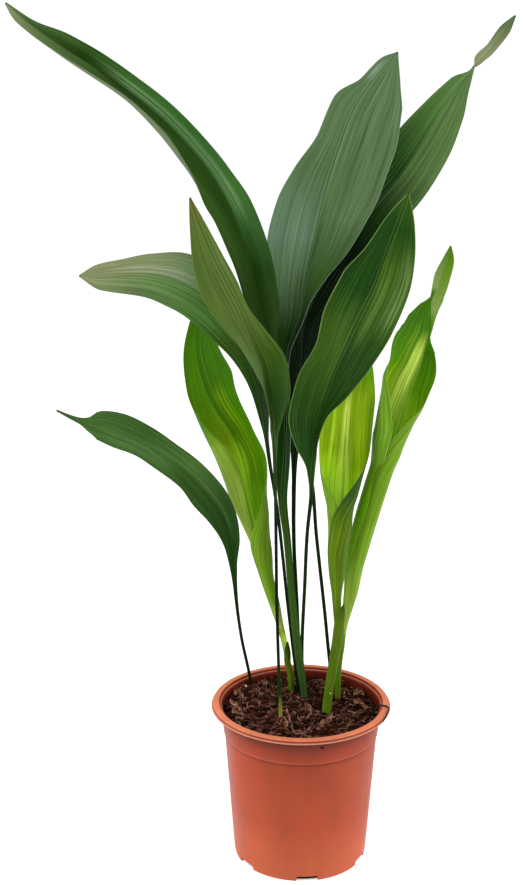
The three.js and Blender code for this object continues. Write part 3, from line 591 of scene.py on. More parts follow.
def husk(name, path, width, stand, curl, finish=husk_skin):
    """A thin curled strip along a path of (x, y) in mm on the soil: `stand` tilts it up on its edge."""
    route = [Vector((x, y, 0)) for x, y in path]
    points, faces = [], []
    steps = HUSK_ALONG * (len(route) - 1)
    for i in range(steps + 1):
        share = i / steps * (len(route) - 1)
        k = min(int(share), len(route) - 2)
        here = route[k].lerp(route[k + 1], share - k)
        ahead = (route[k + 1] - route[k]).normalized()
        side = Vector((-ahead.y, ahead.x, 0))
        breadth = width * (0.35 + 0.65 * math.sin(math.pi * (0.12 + 0.8 * i / steps)))
        breadth *= 1 + 0.35 * noise.noise((here.x / 3, here.y / 3, 2.2))
        ground = soil_height(here.x, here.y) + HUSK_LIFT
        for thick in (HUSK_SKIN, -HUSK_SKIN):
            for j in range(HUSK_ACROSS + 1):
                s = j / HUSK_ACROSS - HUSK_LEAN
                angle = math.radians(stand + curl * (s - 0.4))
                reach = breadth * s
                spot = here + side * (reach * math.cos(angle))
                spot += Vector((0, 0, ground + reach * math.sin(angle)))
                spot += (side * -math.sin(angle) + Vector((0, 0, math.cos(angle)))) * thick
                spot += Vector((0, 0, 0.6 * noise.noise((here.x / 2, here.y / 2, 5 * s))))
                points.append(spot / 1000)
    row, skin = HUSK_ACROSS + 1, 2 * (HUSK_ACROSS + 1)
    for i in range(steps):
        a = i * skin
        for j in range(HUSK_ACROSS):
            faces.append((a + j, a + j + 1, a + skin + j + 1, a + skin + j))
            b = a + row
            faces.append((b + j, b + skin + j, b + skin + j + 1, b + j + 1))
        faces.append((a, a + skin, a + skin + row, a + row))
        b = a + HUSK_ACROSS
        faces.append((b, b + row, b + skin + row, b + skin))
    last = steps * skin
    for j in range(HUSK_ACROSS):
        faces.append((j, row + j, row + j + 1, j + 1))
        faces.append((last + j, last + j + 1, last + row + j + 1, last + row + j))
    piece = mesh_piece(name, points, faces, finish)
    shell = bmesh.new()
    shell.from_mesh(piece.data)
    bmesh.ops.recalc_face_normals(shell, faces=shell.faces)
    shell.to_mesh(piece.data)
    shell.free()
    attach(piece, "root")


husk("husk_front", [(-14, 4), (-12, -11), (-10, -30), (-6, -51)], 4.2, 55, 60)
husk("husk_front_edge", [(-6, -52), (4, -43), (8, -36), (11, -24)], 3.6, 60, 60)
husk("husk_middle", [(4, 14), (8, 4), (8, -8), (5, -19)], 5.0, 35, 80)
husk("husk_right", [(14, -37), (19, -28), (25, -19), (30, -10)], 4.2, 35, 70)
husk("husk_stalk_foot", [(-20, -15), (-17, -24), (-14, -33)], 6.0, 8, 90)
husk("husk_fresh", [(-22, -13), (-20, -19), (-21, -26)], 5.0, 25, 80, fresh_husk_skin)
husk("husk_left", [(-63, 26), (-60, 32), (-56, 28), (-55, 20)], 5.0, 40, 80)
husk("husk_left_low", [(-67, 12), (-65, 5), (-61, 3), (-56, -6)], 4.6, 50, 70)
husk("husk_left_front", [(-64, -12), (-60, -8), (-54, -10)], 5.0, 20, 80)
husk("husk_back", [(-40, 54), (-36, 57), (-32, 52), (-33, 45)], 3.6, 45, 80)
husk("husk_far_right", [(50, 22), (55, 16), (60, 9), (63, 2)], 4.0, 30, 80)
husk("husk_right_back", [(52, 34), (57, 38), (61, 31)], 4.5, 30, 80)
husk("husk_twig", [(-50, 34), (-42, 38), (-29, 41)], 2.6, 60, 120)
husk("husk_curl", [(-36, 6), (-30, 10), (-25, 3)], 2.8, 60, 90)

# Three grains lie in the soil, and a fourth is caught high up on the right-hand sheath.
for number, (x, y, lift, size) in enumerate([
    (-62, 5, 0, 1.5), (-60, 8, 0, 1.0), (-52, 43, 0, 1.2), (27.6, -0.3, 19.5, 0.8),
]):
    grain = bmesh.new()
    bmesh.ops.create_icosphere(grain, subdivisions=2, radius=size / 1000)
    for corner in grain.verts:
        corner.co *= 1 + 0.35 * noise.noise(corner.co * 900 + Vector((number, 0, 0)))
        corner.co += Vector((x, y, soil_height(x, y) + GRAIN_LIFT + lift)) / 1000
    grain_mesh = bpy.data.meshes.new("perlite_grain_%d" % (number + 1))
    grain.to_mesh(grain_mesh)
    grain.free()
    grain_mesh.materials.append(perlite_skin.material)
    grain_piece = bpy.data.objects.new(grain_mesh.name, grain_mesh)
    scene.collection.objects.link(grain_piece)
    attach(grain_piece, "root")

stray_root = [
    (67, -10.5, 143), (69.5, -11.2, 150), (74.3, -12.8, 155.2), (79.4, -14.9, 155.2), (80.9, -19, 155.2),
    (80.8, -23, 155.2), (79.4, -27, 155.2), (78.4, -30, 154.9), (77.4, -34, 154.2), (75.4, -39.5, 153.6),
    (73.9, -42.6, 152.5),
]
points, faces = [], []
for number, place in enumerate(stray_root):
    before = Vector(stray_root[max(0, number - 1)])
    after = Vector(stray_root[min(len(stray_root) - 1, number + 1)])
    turn = (after - before).to_track_quat("Z", "X")
    thick = 1.0 - ROOT_TAPER * number
    for k in range(ROOT_SIDES):
        angle = 2 * math.pi * k / ROOT_SIDES
        around = Vector((thick * math.cos(angle), thick * math.sin(angle), 0))
        points.append((Vector(place) + turn @ around) / 1000)
for a in range(0, ROOT_SIDES * (len(stray_root) - 1), ROOT_SIDES):
    for k in range(ROOT_SIDES):
        beside = (k + 1) % ROOT_SIDES
        faces.append((a + k, a + beside, a + ROOT_SIDES + beside, a + ROOT_SIDES + k))
faces += [tuple(range(ROOT_SIDES))[::-1], tuple(range(len(points) - ROOT_SIDES, len(points)))]
rim_root = mesh_piece("stray_root", points, faces, root_skin)
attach(rim_root, "root")

# ---- How a leaf grows ----
# Each leaf is one piece from foot to tip: a round stalk, grooved on its upper side, that turns into
# a rib under a thin folded blade. It is grown through rows of measures, in mm: a stalk row is
# x, y, z, radius; a blade row is the midrib's x, y, z, the way that its upper face looks (degrees to
# the right of the front), then for the left and the right half its width, fold and curl in degrees.

SHARES = np.array([0, .035, .08, .14, .21, .29, .37, .45, .53, .61, .69, .77, .85, .92, .97, 1.0])
ARC = 24
STALK_STEP, BLADE_STEP = 9, 4  # mm between sections, at most
BLADE_HALF = 0.36  # mm, half the blade's thickness
THIN_EDGE = 0.55  # how much of that the margin loses
STALK_TAPER = 0.75
GROOVE = 0.45
RIB_ABOVE, RIB_BELOW, RIB_SUNK = 0.8, 0.9, 0.55


def curve_through(knots, values, steady):
    """A smooth curve through values at knots; a steady one never overshoots them."""
    values = np.asarray(values, float)
    gaps = np.diff(knots)
    rates = np.diff(values) / gaps
    slope = np.zeros(len(values))
    slope[0], slope[-1] = rates[0], rates[-1]
    for i in range(1, len(values) - 1):
        before, after = rates[i - 1], rates[i]
        if not steady:
            slope[i] = (before * gaps[i] + after * gaps[i - 1]) / (gaps[i - 1] + gaps[i])
        elif before * after > 0:
            slope[i] = 2 * before * after / (before + after)

    def at(places):
        i = np.clip(np.searchsorted(knots, places, side="right") - 1, 0, len(knots) - 2)
        gap = knots[i + 1] - knots[i]
        t = (places - knots[i]) / gap
        return (
            values[i] * (2 * t**3 - 3 * t**2 + 1) + slope[i] * gap * (t**3 - 2 * t**2 + t)
            + values[i + 1] * (3 * t**2 - 2 * t**3) + slope[i + 1] * gap * (t**3 - t**2)
        )

    return at


def half_blade(width, fold, curl, ease):
    """Across and up of each point of one half, and the blade's slope there, for all sections."""
    fold, curl = np.radians(fold)[:, None], np.radians(curl)[:, None]
    middles = (np.arange(ARC) + 0.5) / ARC
    slope = fold + curl * middles[None, :] ** ease
    zero = np.zeros((len(width), 1))
    across = np.concatenate([zero, np.cumsum(np.cos(slope), 1)], 1) / ARC
    up = np.concatenate([zero, np.cumsum(np.sin(slope), 1)], 1) / ARC
    grid = np.arange(ARC + 1) / ARC
    across = np.stack([np.interp(SHARES, grid, row) for row in across]) * width[:, None]
    up = np.stack([np.interp(SHARES, grid, row) for row in up]) * width[:, None]
    return across, up, fold + curl * SHARES[None, :] ** ease


def grow_leaf(name, cad_node, finish, stalk, blade, petiole=(), ease=(1, 1)):
    """Makes one leaf from its rows, with what its finish reads stored on its points."""
    rows = [(x, y, z, 0, (r, 0, 0), (r, 0, 0)) for x, y, z, r in petiole] + list(blade)
    middle = np.array([row[:3] for row in rows], float)
    knots = np.concatenate([[0], np.cumsum(np.linalg.norm(np.diff(middle, axis=0), axis=1))])
    length = knots[-1]
    places = []
    for i in range(len(rows) - 1):
        step = STALK_STEP if i < len(petiole) else BLADE_STEP
        parts = max(1, math.ceil((knots[i + 1] - knots[i]) / step))
        places += list(np.linspace(knots[i], knots[i + 1], parts, endpoint=False))
    places = np.array(places + [length])
    path = [curve_through(knots, middle[:, k], False) for k in range(3)]
    centre = np.stack([axis(places) for axis in path], 1)
    ahead = np.stack([axis(np.minimum(places + 0.5, length)) for axis in path], 1)
    behind = np.stack([axis(np.maximum(places - 0.5, 0)) for axis in path], 1)
    tangent = (ahead - behind) / np.linalg.norm(ahead - behind, axis=1, keepdims=True)
    tangent[0] = (0, 0, 1)
    level = np.cross([0, 1.0, 0], tangent)
    level /= np.linalg.norm(level, axis=1, keepdims=True)
    front = np.cross(level, tangent)
    turn = np.radians(curve_through(knots, [row[3] for row in rows], True)(places))[:, None]
    across = np.cos(turn) * level - np.sin(turn) * front
    upward = np.cos(turn) * front + np.sin(turn) * level
    size = [
        [curve_through(knots, [row[4 + s][k] for row in rows], True)(places) for k in range(3)]
        for s in (0, 1)
    ]
    narrow = np.maximum(np.minimum(size[0][0], size[1][0]), 0.05)[:, None]
    stem = stalk * (1 - STALK_TAPER * places / length)[:, None]
    rib = np.minimum(stem, narrow)
    broad = np.maximum(size[0][0], size[1][0])[:, None]
    blade_share = np.clip((broad / stem - 1) / 3, 0, 1)
    halves = []
    for s, sign in ((0, -1), (1, 1)):
        width = size[s][0][:, None]
        over, up, slope = half_blade(*size[s], ease[s])
        out = SHARES[None, :] * width
        spot = centre[:, None, :] + sign * over[..., None] * across[:, None, :]
        spot = spot + up[..., None] * upward[:, None, :]
        normal = np.cos(slope)[..., None] * upward[:, None, :]
        normal = normal - sign * np.sin(slope)[..., None] * across[:, None, :]
        hump = rib * np.sqrt(np.maximum(0, 1 - (out / (1.05 * rib)) ** 2))
        edge = BLADE_HALF * (1 - THIN_EDGE * SHARES[None, :] ** 8 * blade_share)
        groove = GROOVE * rib * (1 - blade_share) * np.exp(-((out / (GROOVE * rib)) ** 2))
        high = edge + (1 - blade_share) * RIB_ABOVE * hump - groove
        low = edge + (1 - RIB_SUNK * blade_share) * RIB_BELOW * hump
        margin = (1 - SHARES[None, :]) * width
        side = sign * np.broadcast_to(SHARES[None, :], out.shape)
        halves.append((spot, normal, high, low, out, margin, side))
    crease = halves[0][1][:, :1] + halves[1][1][:, :1]
    crease /= np.linalg.norm(crease, axis=2, keepdims=True)
    spot, normal, high, low, out, margin, side = [
        np.concatenate([left[:, ::-1], right[:, 1:]], 1) for left, right in zip(*halves)
    ]
    normal[:, len(SHARES) - 1] = crease[:, 0]
    upper, lower = spot + high[..., None] * normal, (spot - low[..., None] * normal)[:, ::-1]
    section = np.concatenate([upper, lower], 1)
    count, total = section.shape[1], len(places)
    faces = []
    for i in range(total - 1):
        for j in range(count):
            a, b = i * count + j, i * count + (j + 1) % count
            faces.append((a, b, b + count, a + count))
    last = (total - 1) * count
    for j in range(count // 2 - 1):
        a, b, c, d = j, j + 1, count - 2 - j, count - 1 - j
        faces += [(a, d, c, b), (last + a, last + b, last + c, last + d)]
    piece = mesh_piece(name, section.reshape(-1, 3) / 1000, faces, finish)

    def both(values):
        return np.concatenate([values, values[:, ::-1]], 1)

    under = np.concatenate([np.zeros_like(out), np.ones_like(out)], 1)
    spread = np.broadcast_to((places / length)[:, None], section.shape[:2])
    stalk_share = np.broadcast_to(1 - blade_share, section.shape[:2])
    for label, values in (
        ("across", both(side)), ("along", spread), ("from_midrib", both(out)),
        ("from_margin", both(margin)), ("underside", under), ("stalk", stalk_share),
    ):
        stored = piece.data.attributes.new(label, "FLOAT", "POINT")
        stored.data.foreach_set("value", np.ascontiguousarray(values, dtype=np.float32).reshape(-1))
    chart = piece.data.uv_layers.new(name="blade")
    corner = np.zeros(len(piece.data.loops), int)
    piece.data.loops.foreach_get("vertex_index", corner)
    uv = np.stack([both(side).reshape(-1) * 0.5 + 0.5, spread.reshape(-1)], 1)[corner]
    chart.data.foreach_set("uv", uv.astype(np.float32).reshape(-1))
    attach(piece, "root")
    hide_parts(cad_node)


def leaf_finish(
    name, left, right, under, stalk, left_under=None, patches=(), seed=0.0, lines=0.16, blotch=0.14,
    veins=9, vein="#8fae62", vein_light=0.25, rib=0.6, margin="#7f9a55", margin_light=0.45, gloss=0.42,
):
    """The skin of one leaf: its hues from foot to tip for each half and for the back, lighter or darker
    patches (face, middle across, half breadth, start, end, hue, strength), and fine lines along it."""
    finish = Finish(name, gloss=0.06)
    maths, eased, blend, scaled, hues = finish.maths, finish.eased, finish.blend, finish.scaled, finish.hues

    def grain(across_rate, along_rate, shift, detail):
        spot = finish.node("ShaderNodeCombineXYZ", {
            0: maths("MULTIPLY", across, across_rate), 1: maths("MULTIPLY", along, along_rate),
            2: maths("ADD", underside, seed + shift),
        })
        return finish.noise(spot.outputs[0], 1.0, detail)

    stored = ("across", "along", "from_midrib", "from_margin", "underside", "stalk")
    across, along, out, margin_gap, underside, stalk_share = [finish.read(label) for label in stored]
    # Hair-fine lines, broader bands a few to each half, and soft blotches.
    fine, band, blot = grain(52.0, 9.0, 0.0, 2.0), grain(15.0, 3.0, 5.0, 2.0), grain(2.4, 9.0, 9.0, 3.0)
    line_tone = maths("MULTIPLY", maths("SUBTRACT", maths("ADD", fine, band), 1.0), 4.0 * lines)
    blot_tone = maths("MULTIPLY", maths("SUBTRACT", blot, 0.5), 4.0 * blotch)
    tone = maths("MAXIMUM", maths("ADD", maths("ADD", line_tone, blot_tone), 1.0), 0.3)
    wandering = maths("ADD", maths("MULTIPLY", across, float(veins)), maths("MULTIPLY", band, 1.4))
    vein_share = eased(maths("PINGPONG", wandering, 0.5), 0.0, 0.16, 1.0, 0.0)
    broken_vein = maths("MULTIPLY", vein_share, eased(fine, 0.38, 0.6, 0.1, 1.0))
    vein_seen = maths("MULTIPLY", broken_vein, vein_light)

    is_right = eased(across, -0.02, 0.02, 0.0, 1.0)
    front = blend(is_right, hues(along, left), hues(along, right))
    back = hues(along, under)
    if left_under:
        back = blend(is_right, hues(along, left_under), back)
    streaks = maths("ADD", maths("MULTIPLY", band, 0.7), maths("MULTIPLY", fine, 0.3))
    broken = eased(streaks, 0.4, 0.56, 0.25, 1.0)
    # The patches lay lighter or darker hues over the skin; some are painted sheen and highlights, some
    # painted shade.
    for face, middle, breadth, start, end, hue, strength in patches:
        near = eased(maths("ABSOLUTE", maths("SUBTRACT", across, middle)), 0.0, breadth, 1.0, 0.0)
        fade = min(0.07, (end - start) / 2)
        opened = eased(along, start, start + fade, 0.0, strength)
        closed = eased(along, end - fade, end, 1.0, 0.0)
        share = maths("MULTIPLY", maths("MULTIPLY", near, opened), maths("MULTIPLY", closed, broken))
        if face == "back":
            back = blend(share, back, colour(hue))
        else:
            front = blend(share, front, colour(hue))
    skin = blend(vein_seen, scaled(blend(underside, front, back), tone), colour(vein))
    # The midrib: a groove above, darkened with painted shade, with a pale line on each side, and a pale ridge
    # below.
    ridge = eased(maths("ABSOLUTE", maths("SUBTRACT", out, 1.5)), 0.1, 0.7, 0.5 * rib, 0.0)
    skin = blend(ridge, skin, colour(vein))
    groove = eased(out, 0.2, 0.95, rib, 0.0)
    skin = blend(groove, skin, blend(underside, scaled(front, 0.3), colour(vein)))
    skin = blend(eased(margin_gap, 0.2, 0.8, margin_light, 0.0), skin, colour(margin))
    stem = scaled(hues(along, stalk), maths("ADD", maths("MULTIPLY", fine, 0.8), 0.6))
    finish.feed("hue", blend(eased(stalk_share, 0.35, 0.95, 0.0, 1.0), skin, stem))
    finish.feed("roughness", finish.ranged(band, 0.3, 0.7, gloss - 0.05, gloss + 0.1))
    finish.relief(maths("ADD", maths("MULTIPLY", vein_share, 0.6), maths("ADD", fine, band)), 0.35, 0.0006)
    return finish

# ---- Tall leaves ----
# The three oldest and tallest leaves, dark and leathery: one arches far to the left, a broad one on a
# thick stalk stands in the middle, and one behind it twists over at its tip.

# The greens of the grown leaves, from the painted shade at a blade's foot to its dry tip; the grey and silver
# greens are painted sheen.
SHADE, DEEP, DARK, WARM = "#081808", "#143c04", "#204010", "#305008"
LEAF, FRESH, MID, SOFT = "#305018", "#447834", "#406428", "#587840"
SHEEN_GREY, SHEEN_SILVER, OLIVE, DRY = "#547048", "#688468", "#506828", "#808860"
BACK, PALE_BACK, STALK, YELLOWED = "#385028", "#687858", "#102808", "#685820"

grow_leaf(
    "arching_left_leaf", "leaf_arching_left",
    leaf_finish(
        "arching_left_leaf_skin",
        left=[(0.4, DARK), (0.6, LEAF), (0.85, LEAF), (0.93, SOFT), (1.0, DRY)],
        right=[(0.4, LEAF), (0.58, DARK), (0.68, FRESH), (0.8, FRESH), (0.9, LEAF), (1.0, SOFT)],
        under=[(0.5, BACK), (0.95, PALE_BACK)], stalk=[(0.0, STALK)],
        patches=[
            # A painted sheen band lies on the right half, and painted shade in the channel by the midrib on
            # the left half.
            ("front", 0.35, 0.35, 0.62, 0.9, "#a4d08e", 0.75), ("front", -0.3, 0.25, 0.6, 0.85, DARK, 0.4),
        ],
        seed=1.3, lines=0.2, vein="#7fa070", vein_light=0.12, rib=0.0, gloss=0.4, margin="#2c4618",
        margin_light=0.4,
    ),
    stalk=1.7,
    petiole=[
        (31, 50, 124.3, 1.7), (31, 50, 141, 1.7), (26, 51, 199, 1.7), (15, 51, 299, 1.7), (8, 51, 365, 1.8),
        (-2, 50, 399, 2.2),
    ],
    blade=[
        (-14, 49, 433, 0, (4, 10, 10), (4, 10, 10)),
        (-26, 48, 478, 0, (9, 30, 0), (5, 30, 0)),
        (-39, 45, 528, 0, (15, 35, 0), (21.5, 35, 0)),
        (-49, 41, 571, 0, (19.5, 38, 0), (24, 35, 0)),
        (-65, 36, 612, 0, (26.5, 40, 25), (24.5, 35, 0)),
        (-81, 31, 641, 0, (40, 38, 62), (20.5, 35, 0)),
        (-100, 26, 665, 0, (41, 36, 86), (20, 35, 0)),
        (-123, 20, 689, 0, (32.5, 32, 105), (20, 35, 0)),
        (-152, 14, 713, 0, (20.5, 32, 105), (18.5, 32, 0)),
        (-178, 8, 733, 0, (23, 30, 100), (16.5, 30, 0)),
        (-204, 3, 750, 0, (17, 25, 95), (14, 28, 0)),
        (-229, -2, 768, 0, (11.5, 22, 80), (5, 25, 0)),
        (-248, -6, 785, 0, (0.8, 10, 0), (0.8, 10, 0)),
    ],
)
grow_leaf(
    "tall_broad_leaf", "leaf_tall_broad",
    leaf_finish(
        "tall_broad_leaf_skin",
        # The grey and silver greens of its upper blade are painted sheen; two patches add painted highlights,
        # a silver sheen on the left half and a pale band where the tip bends back.
        left=[(0.34, DEEP), (0.56, DEEP), (0.64, SHEEN_GREY), (0.7, SHEEN_SILVER), (0.8, SHEEN_GREY), (1.0, SHEEN_GREY)],
        right=[(0.34, DEEP), (0.5, SHADE), (0.58, SHADE), (0.66, LEAF), (0.74, SHEEN_GREY), (1.0, SHEEN_GREY)],
        under=[(0.4, BACK), (1.0, PALE_BACK)], stalk=[(0.0, MID), (0.3, WARM), (0.42, DEEP)],
        patches=[
            ("front", -0.55, 0.45, 0.6, 0.78, SHEEN_SILVER, 0.3),
            ("front", -0.45, 0.5, 0.93, 0.985, "#a4b8a6", 0.5),
            ("front", 0.08, 0.16, 0.56, 0.78, DARK, 0.5),
        ],
        seed=4.1, lines=0.26, blotch=0.1, vein="#9ab48a", vein_light=0.18, gloss=0.45, rib=0.35,
        margin="#90a894", margin_light=0.5,
    ),
    stalk=2.9,
    petiole=[
        (4, 30.5, 124.3, 2.9), (4, 30.5, 141, 2.9), (-1, 34, 182, 4), (-5, 38, 214, 3.7),
        (-9, 44, 253, 3.4), (-13, 52, 299, 3.6), (-17, 58, 333, 4.4),
    ],
    blade=[
        (-15, 66, 375, 0, (9, 25, 0), (6.5, 40, 0)),
        (-14, 73, 415, 0, (9, 20, 0), (9, 60, 0)),
        (-14, 79, 449, 0, (9, 15, 0), (7, 75, 0)),
        (-11, 84, 474, 0, (15, 10, 0), (9, 80, 0)),
        (-1, 90, 502, 0, (30, 10, 0), (13, 75, 0)),
        (4, 98, 537, 0, (37, 12, 0), (24, 45, 0)),
        (11, 105, 571, 0, (44, 12, 0), (39.5, 30, 0)),
        (17, 111, 597, 0, (42.5, 12, 0), (46, 22, 0)),
        (25, 117, 626, 0, (35, 12, 0), (50.5, 15, 0)),
        (37, 124, 662, 0, (23, 10, 0), (51, 12, 0)),
        (49, 129, 691, 0, (22, 8, 0), (47, 10, 0)),
        (63, 132, 712, 0, (10, 5, 0), (37.5, 10, 0)),
        (77, 137, 728, 0, (8.5, 5, 0), (19, 5, 0)),
        (89, 146, 740, 0, (0.8, 5, 0), (0.8, 5, 0)),
    ],
)
grow_leaf(
    "twisted_tip_leaf", "leaf_twisted_tip",
    leaf_finish(
        "twisted_tip_leaf_skin",
        left=[(0.36, SHADE), (0.62, SHADE), (0.76, DEEP), (0.84, MID), (0.91, SOFT)],
        right=[(0.36, SHADE), (0.64, SHADE), (0.7, DARK), (0.77, SOFT), (0.9, SOFT)],
        under=[(0.3, BACK), (0.8, BACK), (0.9, DRY), (0.94, DRY), (1.0, BACK)], stalk=[(0.1, STALK)],
        seed=7.7, lines=0.3, vein="#8fa880", vein_light=0.2, rib=0.2, margin="#1c340c", margin_light=0.5,
    ),
    stalk=1.8,
    petiole=[
        (1, 60, 124.3, 1.8), (1, 60, 142, 1.8), (-1, 62, 188, 1.8), (-3, 65, 231, 1.8), (-6, 70, 289, 1.9),
        (-6, 77, 347, 2.2),
    ],
    blade=[
        (-5, 84, 384, 0, (5, 10, 0), (4.5, 10, 0)),
        (-3, 92, 422, 0, (9, 20, 0), (10, 20, 0)),
        (-1, 100, 459, 0, (14, 20, 0), (15, 20, 0)),
        (2, 110, 495, 0, (15.5, 18, 0), (25, 18, 0)),
        (18, 121, 529, 0, (23.5, 15, 0), (30.5, 15, 0)),
        (47, 132, 568, 0, (30, 15, 0), (31, 15, 0)),
        (71, 140, 599, 0, (31, 15, 0), (30.5, 15, 0)),
        (94, 146, 626, 0, (30.5, 15, 0), (30, 15, 0)),
        (114, 150, 655, 0, (28, 15, 0), (28, 15, 0)),
        (135, 150, 690, 0, (19, 18, 0), (20.5, 18, 0)),
        (149, 148, 712, 0, (12, 25, 0), (10, 25, 0)),
        (158, 146, 725, 60, (4, 20, 0), (4, 20, 0)),
        (163, 145, 733, 140, (5, 15, 0), (5, 15, 0)),
        (173, 144, 746, 180, (8, 10, 0), (2, 10, 0)),
        (185, 143, 760, 180, (7, 10, 0), (4, 10, 0)),
        (196, 142, 773, 180, (0.8, 5, 0), (0.8, 5, 0)),
    ],
)

# ---- Front leaves ----
# Two leaves that stand in front of the others on long thin stalks: a broad one to the right and a
# narrow one, yellowing at its tip, to the left.
grow_leaf(
    "front_right_leaf", "leaf_front_right",
    leaf_finish(
        "front_right_leaf_skin",
        left=[
            (0.46, DEEP), (0.56, DEEP), (0.68, WARM), (0.74, WARM), (0.82, DEEP), (0.95, DEEP), (1.0, WARM),
        ],
        right=[
            (0.46, DEEP), (0.6, DEEP), (0.7, DARK), (0.82, WARM), (0.87, WARM), (0.94, DEEP), (1.0, WARM),
        ],
        under=[(0.4, BACK), (1.0, PALE_BACK)], stalk=[(0.1, DARK), (0.28, STALK)],
        patches=[
            ("front", 0.75, 0.35, 0.74, 0.93, "#6c8a4a", 0.7),
            ("front", 0.25, 0.2, 0.7, 0.9, "#547430", 0.6),
            ("front", -0.35, 0.3, 0.66, 0.82, MID, 0.5),
        ],
        seed=2.9, lines=0.28, vein="#7c9a54", vein_light=0.2, rib=0.32, margin="#a0bc6c", margin_light=0.45,
    ),
    stalk=1.7,
    petiole=[
        (3, 50, 124.3, 1.7), (3, 50, 141, 1.7), (2, 47, 185, 1.7), (4, 42, 253, 1.7), (6, 36, 311, 1.7),
        (9, 32, 346, 1.9),
    ],
    blade=[
        (10, 29, 372, 0, (6, 20, 0), (2.5, 20, 0)),
        (12, 26, 399, 0, (21, 25, 0), (6, 68, 0)),
        (16, 22, 427, 0, (31.5, 25, 0), (11, 58, 0)),
        (24, 18, 456, 0, (32, 20, 0), (21.5, 20, 0)),
        (35, 14, 485, 0, (27.5, 18, 0), (29, 18, 0)),
        (49, 9, 518, 0, (33.5, 15, 0), (32.5, 15, 0)),
        (63, 4, 550, 0, (32, 12, 0), (30.5, 15, 0)),
        (72, 0, 579, 0, (19, 10, 0), (25.5, 15, 0)),
        (81, -4, 606, 0, (11.5, 8, 0), (14.5, 12, 0)),
        (88, -8, 629, 0, (0.8, 5, 0), (0.8, 5, 0)),
    ],
)
grow_leaf(
    "front_left_leaf", "leaf_front_left",
    leaf_finish(
        "front_left_leaf_skin",
        left=[(0.52, STALK), (0.6, LEAF), (0.67, SOFT), (0.76, OLIVE), (0.95, OLIVE), (1.0, YELLOWED)],
        right=[(0.52, DEEP), (0.62, DARK), (0.7, WARM), (0.78, OLIVE), (0.95, OLIVE), (1.0, YELLOWED)],
        under=[(0.5, BACK), (1.0, PALE_BACK)],
        stalk=[(0.05, "#a8bc48"), (0.08, DARK), (0.2, SHADE), (0.4, SHADE), (0.5, DARK)],
        patches=[
            ("front", 0.6, 0.4, 0.82, 0.96, "#6c8048", 0.5), ("front", -0.75, 0.25, 0.8, 0.97, DARK, 0.5),
        ],
        seed=9.2, lines=0.3, vein="#8a9c60", vein_light=0.2, rib=0.4, margin="#5c7838", margin_light=0.35,
    ),
    stalk=1.6,
    petiole=[
        (-19, -12, 124.3, 1.6), (-19, -12, 141, 1.6), (-21, -12, 190, 1.5), (-23, -11, 259, 1.5),
        (-24, -10, 327, 1.5), (-25, -8, 383, 1.6),
    ],
    blade=[
        (-26, -7, 411, 0, (2.2, 20, 0), (3.5, 20, 0)),
        (-28, -7, 431, 0, (6, 75, 0), (11, 25, 0)),
        (-33, -8, 457, 0, (10, 82, 0), (24, 25, 0)),
        (-37, -9, 478, 0, (12, 58, 0), (25, 22, 0)),
        (-46, -11, 503, 0, (15.5, 45, 0), (18, 20, 0)),
        (-57, -14, 533, 0, (23.5, 20, 0), (8, 20, 0)),
        (-67, -16, 553, 0, (25, 20, 0), (10, 20, 0)),
        (-78, -19, 576, 0, (20, 20, 0), (9, 20, 0)),
        (-88, -23, 601, 0, (10.5, 15, 0), (6, 15, 0)),
        (-97, -29, 628, 0, (0.8, 5, 0), (0.8, 5, 0)),
    ],
)

# ---- Low leaves on the left ----
# One leaf hangs level to the left halfway up, and a short dark one arches low over the rim.
grow_leaf(
    "level_left_leaf", "leaf_level_left",
    leaf_finish(
        "level_left_leaf_skin",
        left=[(0.5, STALK), (0.6, DEEP), (0.7, WARM), (0.78, MID), (0.87, SOFT), (1.0, DRY)],
        # The grey green near the tip of the right half is painted sheen.
        right=[(0.5, STALK), (0.66, STALK), (0.74, LEAF), (0.82, SHEEN_GREY), (0.9, DRY)],
        under=[(0.5, BACK), (1.0, PALE_BACK)], stalk=[(0.0, STALK)],
        patches=[
            # The pale patch by the midrib near the tip is a painted highlight.
            ("front", 0.25, 0.25, 0.8, 0.97, "#a4ac90", 0.6),
            ("front", 0.7, 0.3, 0.86, 0.96, "#4f6f38", 0.5),
            ("front", -0.5, 0.4, 0.7, 0.82, FRESH, 0.5),
        ],
        seed=5.5, lines=0.32, vein="#98ac80", vein_light=0.2, rib=0.15, margin="#5c7c46", margin_light=0.35,
    ),
    stalk=1.7,
    petiole=[
        (-1, 42, 124.3, 1.7), (-1, 42, 142, 1.7), (-6, 43, 182, 1.6), (-12, 49, 232, 1.6),
        (-17, 56, 279, 1.6), (-21, 58, 315, 1.6), (-25, 55, 344, 1.6), (-29, 49, 370, 1.7),
        (-32, 42, 395, 2),
    ],
    blade=[
        (-35, 35, 422, 0, (5, 15, 0), (5, 15, 0)),
        (-41, 31, 452, 0, (8, 20, 0), (8, 20, 0)),
        (-51, 28, 482, 0, (14, 20, 0), (12, 20, 0)),
        (-65, 26, 508, 0, (21, 15, 0), (19, 15, 0)),
        (-84, 24, 531, 0, (24.5, 12, 0), (25, 12, 0)),
        (-107, 24, 546, 0, (24.5, 10, 0), (28, 10, 0)),
        (-134, 24, 554, 0, (21.5, 8, 0), (19.5, 8, 0)),
        (-160, 23, 555, 0, (18, 8, 0), (13, 8, 0)),
        (-181, 22, 554, 0, (13.5, 8, 0), (9.5, 8, 0)),
        (-198, 21, 553, 0, (0.8, 5, 0), (0.8, 5, 0)),
    ],
)
